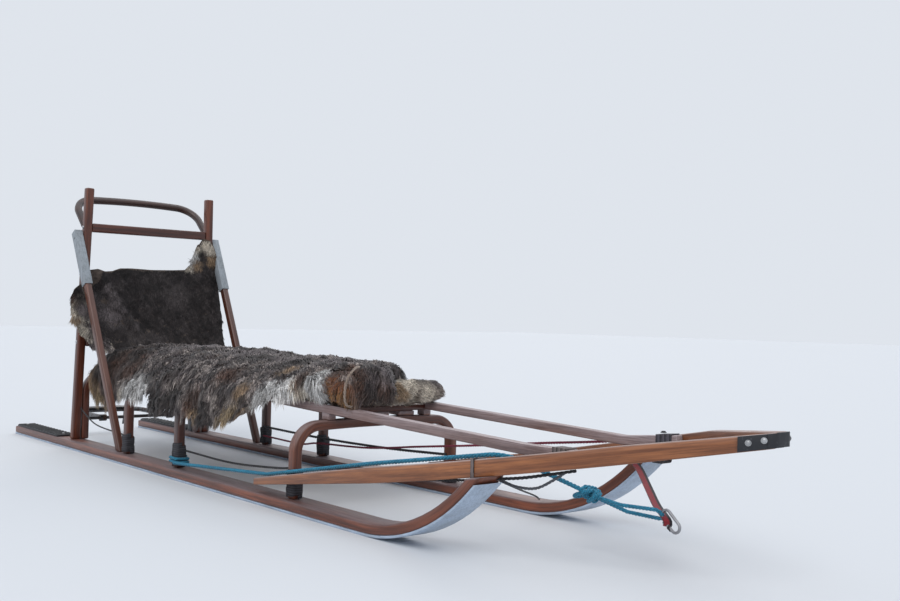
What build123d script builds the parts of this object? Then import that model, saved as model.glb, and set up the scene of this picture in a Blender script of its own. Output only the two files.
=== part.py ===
from build123d import *
import math
import os

# Dog sled with a long nose bow, bentwood arches, a driver's handle bow and a claw brake.
# Millimetres, +Z up, +X to the nose, +Y to the sled's left.
# The origin lies on the ground under the middle of the sled, halfway between the runners.

os.makedirs("parts", exist_ok=True)

# overall
TAIL_X = -1595.0          # cut ends of the runners
NOSE_X = 1595.0           # front of the nose pad
HALF_GAUGE = 250.0        # middle of a runner from the centre line

# runners
RUNNER_W = 70.0
RUNNER_WOOD_T = 24.0
BASE_T = 6.0              # white plastic glide strip
RUNNER_TOP = BASE_T + RUNNER_WOOD_T
RISE_X = 722.0            # where the runner begins to turn up
RISE_R = 529.0            # radius of the turned-up underside
RISE_DEG = 43.0
TIP_RUN = 90.0            # straight wood beyond the arc, cut off under the bow arm
BASE_SHORT = 14.0         # the glide strip stops this much below the arm

# footboards on the runner tails
PAD_X0, PAD_X1 = TAIL_X + 15.0, -1160.0
PAD_W = 62.0
PAD_T = 7.0
PAD_RIB_T = 3.0
PAD_RIB_W = 8.0
PAD_RIBS = 14

# arches of bent wood
ARCH_FRONT_X = 392.0
ARCH_MIDDLE_X = -246.0
ARCH_SEAT_X = -608.0
ARCH_REAR_X = -1068.0
LEG_OUT = 14.0            # a leg stands this far outside the runner's middle
ARCH_HALF = HALF_GAUGE + LEG_OUT
ARCH_REAR_HALF = 230.0    # the rear arch stands inside the uprights
ARCH_STRIP = 24.0         # thickness of the bent strip
ARCH_DEPTH = 30.0         # width of the strip along the sled
ARCH_BEND_R = 77.0
ARCH_CROWN = 6.0
ARCH_FRONT_TOP = 223.5
BED_SLOPE = 0.0345        # the bed rises to the rear

# bed
SPACER_T = 15.5
SPACER_L = 34.0
RAIL_Y = 155.0
RAIL_W = 24.0
RAIL_H = 21.0
RAIL_BEND_X = 1105.0      # where a rail turns to the inner face of the bow arm
RAIL_END_X = 1248.0
RAIL_END_Y = 160.0
RAIL_END_RISE = 2.0
RAIL_REAR_X = -1092.0
RAIL_BEND_R = 120.0
SLAT_W = 52.0
SLAT_T = 12.0
SLAT_PITCH = 84.0
SLAT_SEAT = 0.6
BATTEN_W = 40.0
BATTEN_T = 16.0

# back frame
POST_FOOT_Y, POST_TOP_Y = HALF_GAUGE, HALF_GAUGE - 18.0
POST_FOOT_X, POST_TOP_X = -1068.0, -1046.0
POST_TOP_Z = 920.0
POST = 28.0
STRUT_FOOT_X = -668.0
STRUT_TOP_Z = POST_TOP_Z - 160.0
STRUT_PIN_Z = POST_TOP_Z - 182.0
STRUT_W = 22.0            # across the sled
STRUT_D = 26.0            # along the sled
STRUT_FOOT_Y = HALF_GAUGE + 2.0
SLEEVE_T = 2.5
SLEEVE_LEN = 212.0
SLEEVE_HOLE_R = 4.0
BRACE_GAP = 2.4           # washer between an upright and its brace
WASHER_R = 11.0
BAR_UP_Z = POST_TOP_Z - 140.0
BAR_MID_Z = POST_TOP_Z - 308.0
BAR_LOW_Z = 374.0
BAR_D = 24.0
BAR_H = 31.0

# handle bow
HANDLE_FOOT_Z = POST_TOP_Z - 148.0
HANDLE_TOP_Z = POST_TOP_Z - 23.0
HANDLE_REACH = 142.0      # how far it sweeps back from the uprights
HANDLE_T = 24.0
HANDLE_BEND_R = 90.0
HANDLE_CROWN = 14.0

# nose bow
ARM_T = 30.0
PAD_SKIN = 5.0            # rubber over the nose
NOSE_PAD_LEN = 54.0
NOSE_ROUND = 12.0         # depth of the pad's rounded corners
NOSE_FLAT = 26.0          # flat front between them
NOSE_SKIN = 14.0          # rubber ahead of the arms' ends
NOSE_FLAT_X = NOSE_X - NOSE_SKIN
# stations of one arm from the rear: x, y and z of its middle, height, and how far the left arm
# stands above the right one, because the lashed frame has racked
ARM = [
    dict(x=272.0, y=HALF_GAUGE + 35.0, z=61.0, h=17.0, lift=0.0),
    dict(x=735.0, y=HALF_GAUGE + 23.0, z=134.0, h=36.0, lift=0.0),
    dict(x=1092.0, y=HALF_GAUGE - 15.0, z=192.0, h=36.0, lift=12.0),
    dict(x=1345.0, y=HALF_GAUGE - 104.0, z=238.0, h=36.0, lift=14.0),
    dict(x=1660.0, y=-32.0, z=295.5, h=26.0, lift=-3.1),
]
# places between the stations, for the arcs in plan
ARM_MID = [
    dict(x=920.0, y=HALF_GAUGE + 8.5),
    dict(x=1225.0, y=HALF_GAUGE - 55.0),
    dict(x=1500.0, y=62.0),
]
BAND_T = 3.0              # tape and webbing wound round an arm
TIP_BAND_L = 8.0
TIP_BACK = 54.0           # the arm's tape lies this far behind the runner's tip
STRAP_CLEAR = 9.0         # the strap's turn lies just ahead of the runner's tip
STRAP_IN = 38.0           # the strap leaves the arm this far inside the runner's middle
END_BAND_X = 1196.0
END_BAND_L = 40.0

# lashings
WRAP_T = 2.0
# tape on the legs, from the runner up: which arch, and how high on the right and on the left
WRAPS = [
    dict(x=ARCH_FRONT_X, right=104.0, left=50.0),
    dict(x=ARCH_MIDDLE_X, right=103.0, left=100.0),
    dict(x=ARCH_SEAT_X, right=92.0, left=92.0),
]
WRAP_FOOT = RUNNER_TOP + 1.5

# claw brake, hinged between the runners
BRAKE_PIN_X = -1120.0
BRAKE_PIN_Z = 96.0
BRAKE_PIN_R = 6.0
BRAKE_TUBE = 18.0
BRAKE_HALF = 130.0        # middle of a side arm
BRAKE_LEN = 300.0
BRAKE_BEND_R = 42.0
CLAW_Y = 88.0
CLAW_T = 12.0
CLAW_TIP_Z = 34.0
CLAW_REACH = 16.0         # half the length of the plate round the tube
TREAD_L = 60.0
TREAD_T = 4.0
HINGE_GAP = 0.4
EAR_T = 12.0
EAR_L = 34.0

# towing gear
TOW_X, TOW_Z = 1327.0, 112.0
ROPE_R = 5.0
KNOT_AT = (1152.0, -6.0, 126.0)
KNOT_R = 19.0
ROPE_OUT = 8.0            # the bridle runs this far outside the arches' legs
ROPE_FOOT_Z = 45.0
LOOP_Y = 9.0
LOOP_R = 4.0
LINK_L, LINK_H, LINK_T = 70.0, 34.0, 7.0
LINK_X = TOW_X + LINK_L / 2 - 13.0
LINK_SLACK = 1.6
STRAP_W, STRAP_T = 24.0, 3.0

# furs
SOFT_GAP = 0.3            # clear of what they lie on
FUR_LIFT = 0.6
FUR_HALF = 184.0
FUR_EDGE = 0.5            # share of the thickness left at the sides
# stations of the seat fur: place along the sled and thickness over the rails
FUR = [dict(x=-1012.0, t=46.0), dict(x=-420.0, t=94.0), dict(x=150.0, t=100.0), dict(x=402.0, t=88.0)]
FLAP_T = 16.0
FLAP_Y = -286.0           # outside of the hanging edge
FLAP_TOP = 318.0
# lower edge of the side that hangs over the arches: place along the sled and height
FLAP_EDGE = [(-500, 268), (-346, 221), (-300, 178), (-82, 160), (118, 175), (245, 232), (310, 262)]
# lower edge of the side that hangs behind the seat arch
REAR_EDGE = [(-1010, 175), (-925, 165), (-805, 178), (-660, 213), (-640, 270)]
BACK_T = 24.0
# outline of the back fur seen from the front: across the sled and height
BACK_EDGE = [
    (-232, 378), (-294, 372), (-299, 470), (-283, 545), (-232, 575), (-232, 625), (-178, 612), (-80, 636),
    (130, 645), (160, 680), (186, 752), (208, 776), (226, 700), (230, 590), (276, 566), (284, 380),
]
ROLL_R = 33.0
ROLL_X = ARCH_FRONT_X + 46.0
ROLL_Y0, ROLL_Y1 = -125.0, 205.0


def upright_plane(y):
    """Plane along the sled, upright, at y; what is drawn on it is extruded towards -Y."""
    return Plane(origin=(0, y, 0), x_dir=(1, 0, 0), z_dir=(0, -1, 0))


def across_plane(x):
    """Plane across the sled, upright, at x; what is drawn on it is extruded towards +X."""
    return Plane(origin=(x, 0, 0), x_dir=(0, 1, 0), z_dir=(1, 0, 0))


def save(shape, node):
    export_step(shape, "parts/" + node + ".step")
    return shape


def mirror_y(shape):
    return mirror(shape, about=Plane.XZ)


def slab(x0, x1, y0, y1, z0, z1):
    return Pos((x0 + x1) / 2, (y0 + y1) / 2, (z0 + z1) / 2) * Box(x1 - x0, y1 - y0, z1 - z0)


def bar(a, b, across, deep):
    """Straight bar of rectangular section from a to b; across lies along Y."""
    a, b = Vector(*a), Vector(*b)
    run = b - a
    plane = Plane(origin=a, x_dir=Vector(0, 1, 0) - run.normalized() * run.normalized().Y, z_dir=run)
    return extrude(plane * Rectangle(across, deep), run.length)


def arch_top(x):
    """Height of an arch's crown at a place along the sled."""
    return ARCH_FRONT_TOP + BED_SLOPE * (ARCH_FRONT_X - x)


def rail_mid(x):
    return arch_top(x) + SPACER_T + RAIL_H / 2


def arch_face(half, top, bend):
    """Closed outline of an arch in the YZ plane, down to the runner's top."""
    side = top - ARCH_CROWN
    crown = ThreePointArc((half, side), (0, top), (-half, side))
    line = Polyline((-half, side), (-half, RUNNER_TOP), (half, RUNNER_TOP), (half, side))
    face = make_face(Curve() + [crown, line])
    upper = [v for v in face.vertices() if v.Y > RUNNER_TOP + 1]
    return fillet(upper, bend)


def arch(x, half):
    top = arch_top(x)
    outer = arch_face(half, top, ARCH_BEND_R)
    inner = arch_face(half - ARCH_STRIP, top - ARCH_STRIP, ARCH_BEND_R - ARCH_STRIP)
    plane = Plane(origin=(x - ARCH_DEPTH / 2, 0, 0), x_dir=(0, 1, 0), z_dir=(1, 0, 0))
    return extrude(plane * (outer - inner), ARCH_DEPTH)


def tube_on(points, radius, bends):
    """Round cord or rod along straight runs with a bend radius at each inner point."""
    path = FilletPolyline(*points, radius=bends) if len(points) > 2 else Line(*points)
    start = Plane(origin=path @ 0, z_dir=path % 0)
    return sweep(start * Circle(radius), path=path)


# runners: one bent strip of wood with the glide strip under it
def runner_strip(low, high, end_deg, tip):
    """Side outline between two heights above the ground, turned up at the front."""
    rl, rh = RISE_R - low, RISE_R - high
    a = math.radians(end_deg)
    half = math.radians(end_deg / 2)
    c, s = math.cos(a), math.sin(a)
    p_low = (RISE_X + rl * s, RISE_R - rl * c)
    p_high = (RISE_X + rh * s, RISE_R - rh * c)
    m_low = (RISE_X + rl * math.sin(half), RISE_R - rl * math.cos(half))
    m_high = (RISE_X + rh * math.sin(half), RISE_R - rh * math.cos(half))
    t_low = (p_low[0] + tip * c, p_low[1] + tip * s)
    t_high = (p_high[0] + tip * c, p_high[1] + tip * s)
    edges = [Line((TAIL_X, low), (RISE_X, low)), ThreePointArc((RISE_X, low), m_low, p_low)]
    if tip > 0:
        edges += [Line(p_low, t_low), Line(t_low, t_high), Line(t_high, p_high)]
    else:
        edges += [Line(p_low, p_high)]
    edges += [ThreePointArc(p_high, m_high, (RISE_X, high)), Line((RISE_X, high), (TAIL_X, high))]
    edges += [Line((TAIL_X, high), (TAIL_X, low))]
    face = make_face(Curve() + edges)
    return extrude(upright_plane(HALF_GAUGE + RUNNER_W / 2) * face, RUNNER_W)


# bow arm: the plan outline cut by the side outline
def arm_plan(out, inn):
    """Plan of the left arm, offset out and inn from its middle line."""
    pts = [ARM[0], ARM[1], ARM_MID[0], ARM[2], ARM_MID[1], ARM[3], ARM_MID[2], ARM[4]]
    pts = [(p["x"], p["y"]) for p in pts]

    def side(d):
        res = []
        for i, p in enumerate(pts):
            a, b = pts[max(i - 1, 0)], pts[min(i + 1, len(pts) - 1)]
            n = math.hypot(b[0] - a[0], b[1] - a[1])
            res.append((p[0] - (b[1] - a[1]) / n * d, p[1] + (b[0] - a[0]) / n * d))
        return res
    o, i = side(out), side(-inn)
    edges = [Line(o[0], o[1]), ThreePointArc(o[1], o[2], o[3]), ThreePointArc(o[3], o[4], o[5]),
             ThreePointArc(o[5], o[6], o[7]), Line(o[7], i[7]), ThreePointArc(i[7], i[6], i[5]),
             ThreePointArc(i[5], i[4], i[3]), ThreePointArc(i[3], i[2], i[1]), Line(i[1], i[0]),
             Line(i[0], o[0])]
    return make_face(Curve() + edges)


def arm_side(grow, lifted):
    """Side outline of an arm; the middle runs straight, then in one slow upward arc."""
    up = [(p["x"], p["z"] + p["h"] / 2 + grow + lifted * p["lift"]) for p in ARM]
    dn = [(p["x"], p["z"] - p["h"] / 2 - grow + lifted * p["lift"]) for p in ARM]
    over = ARM_T * 2
    up_end = (up[4][0] + over, up[4][1])
    dn_end = (dn[4][0] + over, dn[4][1])
    edges = [Line(up[0], up[1]), ThreePointArc(up[1], up[2], up[3]), Line(up[3], up[4])]
    edges += [Line(up[4], up_end), Line(up_end, dn_end), Line(dn_end, dn[4]), Line(dn[4], dn[3])]
    edges += [ThreePointArc(dn[3], dn[2], dn[1]), Line(dn[1], dn[0]), Line(dn[0], up[0])]
    return make_face(Curve() + edges)


def arm_solid(out, inn, grow, front, lifted):
    body = extrude(arm_plan(out, inn), NOSE_X)
    wide = ARCH_HALF * 2
    cutter = extrude(upright_plane(wide) * arm_side(grow, lifted), 2 * wide)
    return (body & cutter) & slab(ARM[0]["x"], front, 0, wide, 0, NOSE_X)


def under_arm(lifted):
    """Three points along an arm's underside, in the XZ plane."""
    return [(p["x"], p["z"] - p["h"] / 2 + lifted * p["lift"]) for p in ARM[1:4]]


def above_arm(lifted, drop):
    """All that lies above an arm's underside, to trim what stands under the arm."""
    a, b, c = [(x, z - drop) for x, z in under_arm(lifted)]
    far_x = c[0] + ARCH_HALF
    face = make_face(Curve() + [
        ThreePointArc(a, b, c), Line(c, (far_x, c[1])), Line((far_x, c[1]), (far_x, NOSE_X)),
        Line((far_x, NOSE_X), (a[0], NOSE_X)), Line((a[0], NOSE_X), a)])
    return extrude(upright_plane(ARCH_HALF * 2) * face, ARCH_HALF * 2)


# each side is made on the left and the right one is then mirrored; only the left one is lifted
SIDES = [("left", 1), ("right", 0)]
arm, runner, rail, skins = {}, {}, {}, {}
runner_wood = runner_strip(BASE_T, RUNNER_TOP, RISE_DEG, TIP_RUN)
glide_strip = runner_strip(0, BASE_T, RISE_DEG, TIP_RUN)
rail_a = (RAIL_REAR_X, RAIL_Y, rail_mid(RAIL_REAR_X))
rail_b = (RAIL_BEND_X, RAIL_Y, rail_mid(RAIL_BEND_X))


def rail_bar(wide, high, lifted):
    """A side rail: straight over the arches, then turned to the arm's inner face."""
    end_z = rail_mid(RAIL_BEND_X) + RAIL_END_RISE + lifted * ARM[2]["lift"]
    path = FilletPolyline(rail_a, rail_b, (RAIL_END_X, RAIL_END_Y, end_z), radius=RAIL_BEND_R)
    start = Plane(origin=rail_a, x_dir=(0, 1, 0), z_dir=path % 0)
    return sweep(start * Rectangle(wide, high), path=path)


for side, lifted in SIDES:
    arm[side] = arm_solid(ARM_T / 2, ARM_T / 2, 0, NOSE_FLAT_X, lifted)
    runner[side] = runner_wood - above_arm(lifted, 0)
    base = glide_strip - above_arm(lifted, BASE_SHORT)
    rail[side] = rail_bar(RAIL_W, RAIL_H, lifted) - arm[side]
    skin = arm_solid(ARM_T / 2 + PAD_SKIN, ARM_T / 2, -1.0, NOSE_X, lifted)
    skin = skin & slab(NOSE_X - NOSE_PAD_LEN, NOSE_X, 0, ARCH_HALF, 0, NOSE_X)
    skins[side] = skin - arm[side]
    turn = mirror_y if side == "right" else (lambda shape: shape)
    save(turn(arm[side]), "bow_arm_" + side)
    save(turn(runner[side]), "runner_" + side)
    save(turn(base), "runner_base_" + side)
    save(turn(rail[side]), "side_rail_" + side)

# rubber pad bent round the nose, its upright corners rounded
nose_pad = skins["left"] + mirror_y(skins["right"])
pad_x, wide = NOSE_X - NOSE_PAD_LEN * 2, ARCH_HALF
flat, turn_x, turn_y = NOSE_FLAT / 2, NOSE_X - NOSE_ROUND, NOSE_FLAT / 2 + NOSE_ROUND * 1.6
arc_x, arc_y = NOSE_X - NOSE_ROUND * 0.3, NOSE_FLAT / 2 + NOSE_ROUND * 0.95
nose_plan = make_face(Curve() + [
    Line((NOSE_X, -flat), (NOSE_X, flat)), ThreePointArc((NOSE_X, flat), (arc_x, arc_y), (turn_x, turn_y)),
    Polyline((turn_x, turn_y), (turn_x, wide), (pad_x, wide)), Line((pad_x, wide), (pad_x, -wide)),
    Polyline((pad_x, -wide), (turn_x, -wide), (turn_x, -turn_y)),
    ThreePointArc((turn_x, -turn_y), (arc_x, -arc_y), (NOSE_X, -flat))])
nose_pad = nose_pad & extrude(nose_plan, NOSE_X)
save(nose_pad, "nose_pad")

# ribbed rubber footboards
pad_in, pad_out = HALF_GAUGE - PAD_W / 2, HALF_GAUGE + PAD_W / 2
pad = slab(PAD_X0, PAD_X1, pad_in, pad_out, RUNNER_TOP, RUNNER_TOP + PAD_T)
rib_pitch = (PAD_X1 - PAD_X0) / PAD_RIBS
for k in range(PAD_RIBS):
    rib_x = PAD_X0 + (k + 0.5) * rib_pitch
    pad += slab(rib_x - PAD_RIB_W / 2, rib_x + PAD_RIB_W / 2, pad_in, pad_out,
                RUNNER_TOP + PAD_T, RUNNER_TOP + PAD_T + PAD_RIB_T)
save(pad, "footboard_left")
save(mirror_y(pad), "footboard_right")

# arches
arches = {}
for name, x, half in [("front", ARCH_FRONT_X, ARCH_HALF), ("middle", ARCH_MIDDLE_X, ARCH_HALF),
                      ("seat", ARCH_SEAT_X, ARCH_HALF), ("rear", ARCH_REAR_X, ARCH_REAR_HALF)]:
    arches[name] = arch(x, half)
    save(arches[name], "arch_" + name)

# tape wound round the foot of each leg
for side in ("left", "right"):
    wraps = []
    for w in WRAPS:
        mid, high = ARCH_HALF - ARCH_STRIP / 2, w[side] - WRAP_FOOT
        ring = (Box(ARCH_DEPTH + 2 * WRAP_T, ARCH_STRIP + 2 * WRAP_T, high)
                - Box(ARCH_DEPTH, ARCH_STRIP, high))
        ring = Pos(w["x"], mid, WRAP_FOOT + high / 2) * ring
        wraps += [ring if side == "left" else mirror_y(ring)]
    save(Compound(children=wraps), "leg_tape_" + side)

# blocks between the arches and the rails
spacers = []
for name, x in [("front", ARCH_FRONT_X), ("middle", ARCH_MIDDLE_X), ("seat", ARCH_SEAT_X),
                ("rear", ARCH_REAR_X)]:
    top = arch_top(x)
    block = slab(x - SPACER_L / 2, x + SPACER_L / 2, RAIL_Y - RAIL_W / 2, RAIL_Y + RAIL_W / 2,
                 top - ARCH_STRIP / 2, top + SPACER_T + RAIL_H / 4)
    block = block & slab(x - ARCH_DEPTH / 2, x + ARCH_DEPTH / 2, 0, ARCH_HALF, 0, top * 2)
    spacers += [block - arches[name] - rail["left"]]
save(Compound(children=spacers + [mirror_y(s) for s in spacers]), "rail_blocks")

# lengthwise slats between the rails
slats = []
for k in (-1, 0, 1):
    rear_x, front_x = ARCH_REAR_X - ARCH_DEPTH / 2, ARCH_FRONT_X + ARCH_DEPTH / 2
    a = (rear_x, k * SLAT_PITCH, arch_top(rear_x) + SLAT_SEAT + SLAT_T / 2)
    b = (front_x, k * SLAT_PITCH, arch_top(front_x) + SLAT_SEAT + SLAT_T / 2)
    slats += [bar(a, b, SLAT_W, SLAT_T)]
save(Compound(children=slats), "bed_slats")
batten_z = arch_top(ARCH_FRONT_X - BATTEN_W / 2) + SLAT_SEAT + SLAT_T + 0.1
batten_half = RAIL_Y - RAIL_W / 2
batten = slab(ARCH_FRONT_X - BATTEN_W / 2, ARCH_FRONT_X + BATTEN_W / 2, -batten_half, batten_half,
              batten_z, batten_z + BATTEN_T)
save(batten, "bed_batten")

# uprights, their braces and crossbars
post_rise = POST_TOP_Z - RUNNER_TOP
post_dir = ((POST_TOP_X - POST_FOOT_X) / post_rise, (POST_TOP_Y - POST_FOOT_Y) / post_rise)


def post_at(z):
    """Middle of the left upright at a height."""
    return (POST_FOOT_X + post_dir[0] * (z - RUNNER_TOP), POST_FOOT_Y + post_dir[1] * (z - RUNNER_TOP))


foot = post_at(0)
post = bar((foot[0], foot[1], 0), (POST_TOP_X, POST_TOP_Y, POST_TOP_Z), POST, POST)
post = post & slab(POST_FOOT_X - 100, POST_TOP_X + 100, 0, ARCH_HALF * 2, RUNNER_TOP, POST_TOP_Z + POST)
save(post, "upright_left")
save(mirror_y(post), "upright_right")

brace_pin = post_at(STRUT_PIN_Z)
brace_y = brace_pin[1] + POST / 2 + SLEEVE_T + STRUT_W / 2 + BRACE_GAP
slope = (brace_pin[0] - STRUT_FOOT_X) / (STRUT_PIN_Z - RUNNER_TOP)
lean = (brace_y - STRUT_FOOT_Y) / (STRUT_PIN_Z - RUNNER_TOP)


def brace_at(z):
    return (STRUT_FOOT_X + slope * (z - RUNNER_TOP), STRUT_FOOT_Y + lean * (z - RUNNER_TOP), z)


brace = bar(brace_at(-40), brace_at(STRUT_TOP_Z), STRUT_W, STRUT_D)
brace = brace & slab(TAIL_X, NOSE_X, 0, ARCH_HALF * 2, RUNNER_TOP, NOSE_X)
sleeve_low = STRUT_TOP_Z - SLEEVE_LEN * math.cos(math.atan(slope))
sleeve = bar(brace_at(sleeve_low), brace_at(STRUT_TOP_Z + SLEEVE_T), STRUT_W + 2 * SLEEVE_T,
             STRUT_D + 2 * SLEEVE_T)
pin = Pos(*brace_at(STRUT_PIN_Z)) * Rot(90, 0, 0) * Cylinder(SLEEVE_HOLE_R, ARCH_HALF)
hole = pin & slab(TAIL_X, NOSE_X, brace_y - STRUT_W, ARCH_HALF * 2, 0, NOSE_X)
sleeve = sleeve - brace - hole
save(brace, "brace_left")
save(mirror_y(brace), "brace_right")
save(sleeve, "brace_sleeve_left")
save(mirror_y(sleeve), "brace_sleeve_right")
washer_y = brace_pin[1] + POST / 2
washer = Pos(brace_pin[0], washer_y, STRUT_PIN_Z) * Rot(90, 0, 0) * Cylinder(WASHER_R, STRUT_W)
washer = washer & slab(TAIL_X, NOSE_X, washer_y - 1, brace_y, 0, NOSE_X)
washer = washer - post - sleeve - brace
washer = max(washer.solids(), key=lambda s: s.volume)
save(Compound(children=[washer, mirror_y(washer)]), "brace_washers")


def crossbar(z):
    x, y = post_at(z)
    reach = post_at(z + BAR_H)[1] - POST / 2
    return slab(x - BAR_D / 2, x + BAR_D / 2, -reach, reach, z - BAR_H / 2, z + BAR_H / 2)


save(crossbar(BAR_UP_Z), "crossbar_upper")
save(crossbar(BAR_MID_Z), "crossbar_middle")
save(crossbar(BAR_LOW_Z), "crossbar_lower")

# handle bow: bent in one plane that leans back from the uprights
hx, hy = post_at(HANDLE_FOOT_Z)
handle_y = hy + 1.0
rise = HANDLE_TOP_Z - HANDLE_FOOT_Z
run = math.hypot(rise, HANDLE_REACH)
handle_plane = Plane(origin=(hx, 0, HANDLE_FOOT_Z), x_dir=(0, 1, 0),
                     z_dir=Vector(0, 1, 0).cross(Vector(-HANDLE_REACH, 0, rise)))


def handle_outline(half, top, crown, bend):
    arc = ThreePointArc((half, top - crown), (0, top), (-half, top - crown))
    line = Polyline((-half, top - crown), (-half, 0), (half, 0), (half, top - crown))
    face = make_face(Curve() + [arc, line])
    upper = [v for v in face.vertices() if v.Y > 1]
    return fillet(upper, bend)


outer = handle_outline(handle_y + HANDLE_T / 2, run + HANDLE_T / 2, HANDLE_CROWN, HANDLE_BEND_R)
inner = handle_outline(handle_y - HANDLE_T / 2, run - HANDLE_T / 2, HANDLE_CROWN, HANDLE_BEND_R - HANDLE_T)
handle = extrude(handle_plane * (outer - inner), HANDLE_T / 2, both=True)
handle = handle & slab(TAIL_X, post_at(HANDLE_FOOT_Z + POST)[0], -ARCH_HALF * 2, ARCH_HALF * 2, 0, NOSE_X)
handle = handle - post - mirror_y(post)
handle = Compound(children=[max(handle.solids(), key=lambda s: s.volume)])
save(handle, "handle_bow")

# claw brake
# U-shaped tube between the runners, hinged on two ears that stand on the runners' inner edges
pin_y = BRAKE_HALF
arm_x = BRAKE_PIN_X - BRAKE_PIN_R
u_path = FilletPolyline((arm_x, pin_y, BRAKE_PIN_Z), (BRAKE_PIN_X - BRAKE_LEN, pin_y, BRAKE_PIN_Z),
                        (BRAKE_PIN_X - BRAKE_LEN, -pin_y, BRAKE_PIN_Z), (arm_x, -pin_y, BRAKE_PIN_Z),
                        radius=BRAKE_BEND_R)
u_bar = sweep(Plane(origin=u_path @ 0, z_dir=u_path % 0) * Circle(BRAKE_TUBE / 2), path=u_path)
ear_y = HALF_GAUGE - RUNNER_W / 2
eye = Pos(BRAKE_PIN_X, 0, BRAKE_PIN_Z) * Rot(90, 0, 0) * Cylinder(BRAKE_TUBE / 2 + 3, BRAKE_TUBE + 5)
rod = Pos(BRAKE_PIN_X, 0, BRAKE_PIN_Z) * Rot(90, 0, 0) * Cylinder(BRAKE_PIN_R, 2 * (ear_y + EAR_T - 1))
brake = rod + Pos(0, pin_y, 0) * eye + Pos(0, -pin_y, 0) * eye + u_bar
save(brake, "brake_bar")

ear = slab(BRAKE_PIN_X - EAR_L / 2, BRAKE_PIN_X + EAR_L / 2, ear_y, ear_y + EAR_T, RUNNER_TOP, BRAKE_PIN_Z)
ear += Pos(BRAKE_PIN_X, ear_y + EAR_T / 2, BRAKE_PIN_Z) * Rot(90, 0, 0) * Cylinder(EAR_L / 2, EAR_T)
ear_hole = Rot(90, 0, 0) * Cylinder(BRAKE_PIN_R + HINGE_GAP, EAR_T * 3)
ear = ear - Pos(BRAKE_PIN_X, ear_y, BRAKE_PIN_Z) * ear_hole
save(ear, "brake_ear_left")
save(mirror_y(ear), "brake_ear_right")

# two claws that hang from the rear tube and a plate that the foot presses
claw_x = BRAKE_PIN_X - BRAKE_LEN
claw_outline = make_face(Polyline(
    (claw_x + CLAW_REACH, BRAKE_PIN_Z + 14), (claw_x - CLAW_REACH, BRAKE_PIN_Z + 14),
    (claw_x - CLAW_REACH, BRAKE_PIN_Z - 20), (claw_x - CLAW_REACH - 10, CLAW_TIP_Z),
    (claw_x - CLAW_REACH + 2, CLAW_TIP_Z + 6), (claw_x + 6, BRAKE_PIN_Z - 24),
    (claw_x + CLAW_REACH, BRAKE_PIN_Z - 14), close=True))
claw = extrude(upright_plane(CLAW_Y + CLAW_T / 2) * claw_outline, CLAW_T)
claw = claw - u_bar
save(Compound(children=[claw, mirror_y(claw)]), "brake_claws")
tread_half = CLAW_Y - CLAW_T / 2 - 1
tread_z = BRAKE_PIN_Z + BRAKE_TUBE / 2
tread = slab(claw_x - TREAD_L / 2 + 4, claw_x + TREAD_L / 2 + 4, -tread_half, tread_half,
             tread_z, tread_z + TREAD_T)
save(tread, "brake_tread")

# furs laid over the bed and the back
# seat fur: crowned across the sled, with its right side hanging down
def fur_section(x, thick):
    """Section of the seat fur at a station: flat below, crowned on top."""
    z = rail_mid(x) + RAIL_H / 2 + FUR_LIFT
    plane = Plane(origin=(x, 0, 0), x_dir=(0, 1, 0), z_dir=(1, 0, 0))
    side = z + thick * FUR_EDGE
    arc = ThreePointArc((FUR_HALF, side), (0, z + thick), (-FUR_HALF, side))
    line = Polyline((-FUR_HALF, side), (-FUR_HALF, z), (FUR_HALF, z), (FUR_HALF, side))
    return plane * make_face(Curve() + [arc, line])


seat_fur = loft([fur_section(f["x"], f["t"]) for f in FUR], ruled=True)
# the hanging side turns out over the arches' shoulders and then down
flap_in = FLAP_Y + FLAP_T
flap_low = FLAP_EDGE[3][1] - 20
flap_band = make_face(Polyline(
    (-FUR_HALF + 20, FLAP_TOP), (-250, FLAP_TOP - 15), (FLAP_Y, 252), (FLAP_Y, flap_low),
    (flap_in, flap_low), (flap_in, 244), (-242, 281), (-FUR_HALF + 14, 299), (-FUR_HALF + 20, 299),
    close=True))
flap_x0, flap_x1 = FLAP_EDGE[0][0], FLAP_EDGE[-1][0]
flap_band = extrude(across_plane(flap_x0) * flap_band, flap_x1 - flap_x0)
flap_face = make_face(Polyline(*FLAP_EDGE, (flap_x1, FLAP_TOP + 22), (flap_x0, FLAP_TOP + 22), close=True))
flap_face = extrude(upright_plane(0) * flap_face, ARCH_HALF * 2)
rear_face = make_face(Polyline(*REAR_EDGE, (REAR_EDGE[-1][0], 305), (REAR_EDGE[0][0], 305), close=True))
rear_flap = extrude(upright_plane(4 - FUR_HALF) * rear_face, FLAP_T + 4)
seat_fur = seat_fur + (flap_band & flap_face) + rear_flap
save(seat_fur, "seat_fur")

# back fur: a thick sheet that hangs in front of the uprights, its right corner behind the brace
touch_z = BACK_EDGE[12][1] + 4
back_x = post_at(touch_z)[0] + POST / 2 + SOFT_GAP
back_face = make_face(Polyline(*BACK_EDGE, close=True))
back_fur = extrude(across_plane(back_x) * back_face, BACK_T)
save(back_fur, "back_fur")

# rolled end of the fur across the front of the bed
roll = Pos(ROLL_X, (ROLL_Y0 + ROLL_Y1) / 2, rail_mid(ROLL_X) + RAIL_H / 2 + ROLL_R + FUR_LIFT)
roll = roll * Rot(90, 0, 0) * Cylinder(ROLL_R, ROLL_Y1 - ROLL_Y0)
save(roll, "fur_roll")


# tape and webbing round the bow arms
def arm_band(x, length, lifted):
    """Band wound round the left arm, still filled where the arm passes."""
    band = arm_solid(ARM_T / 2 + BAND_T, ARM_T / 2 + BAND_T, BAND_T, NOSE_X, lifted)
    return band & slab(x, x + length, 0, ARCH_HALF * 2, 0, NOSE_X)


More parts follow.
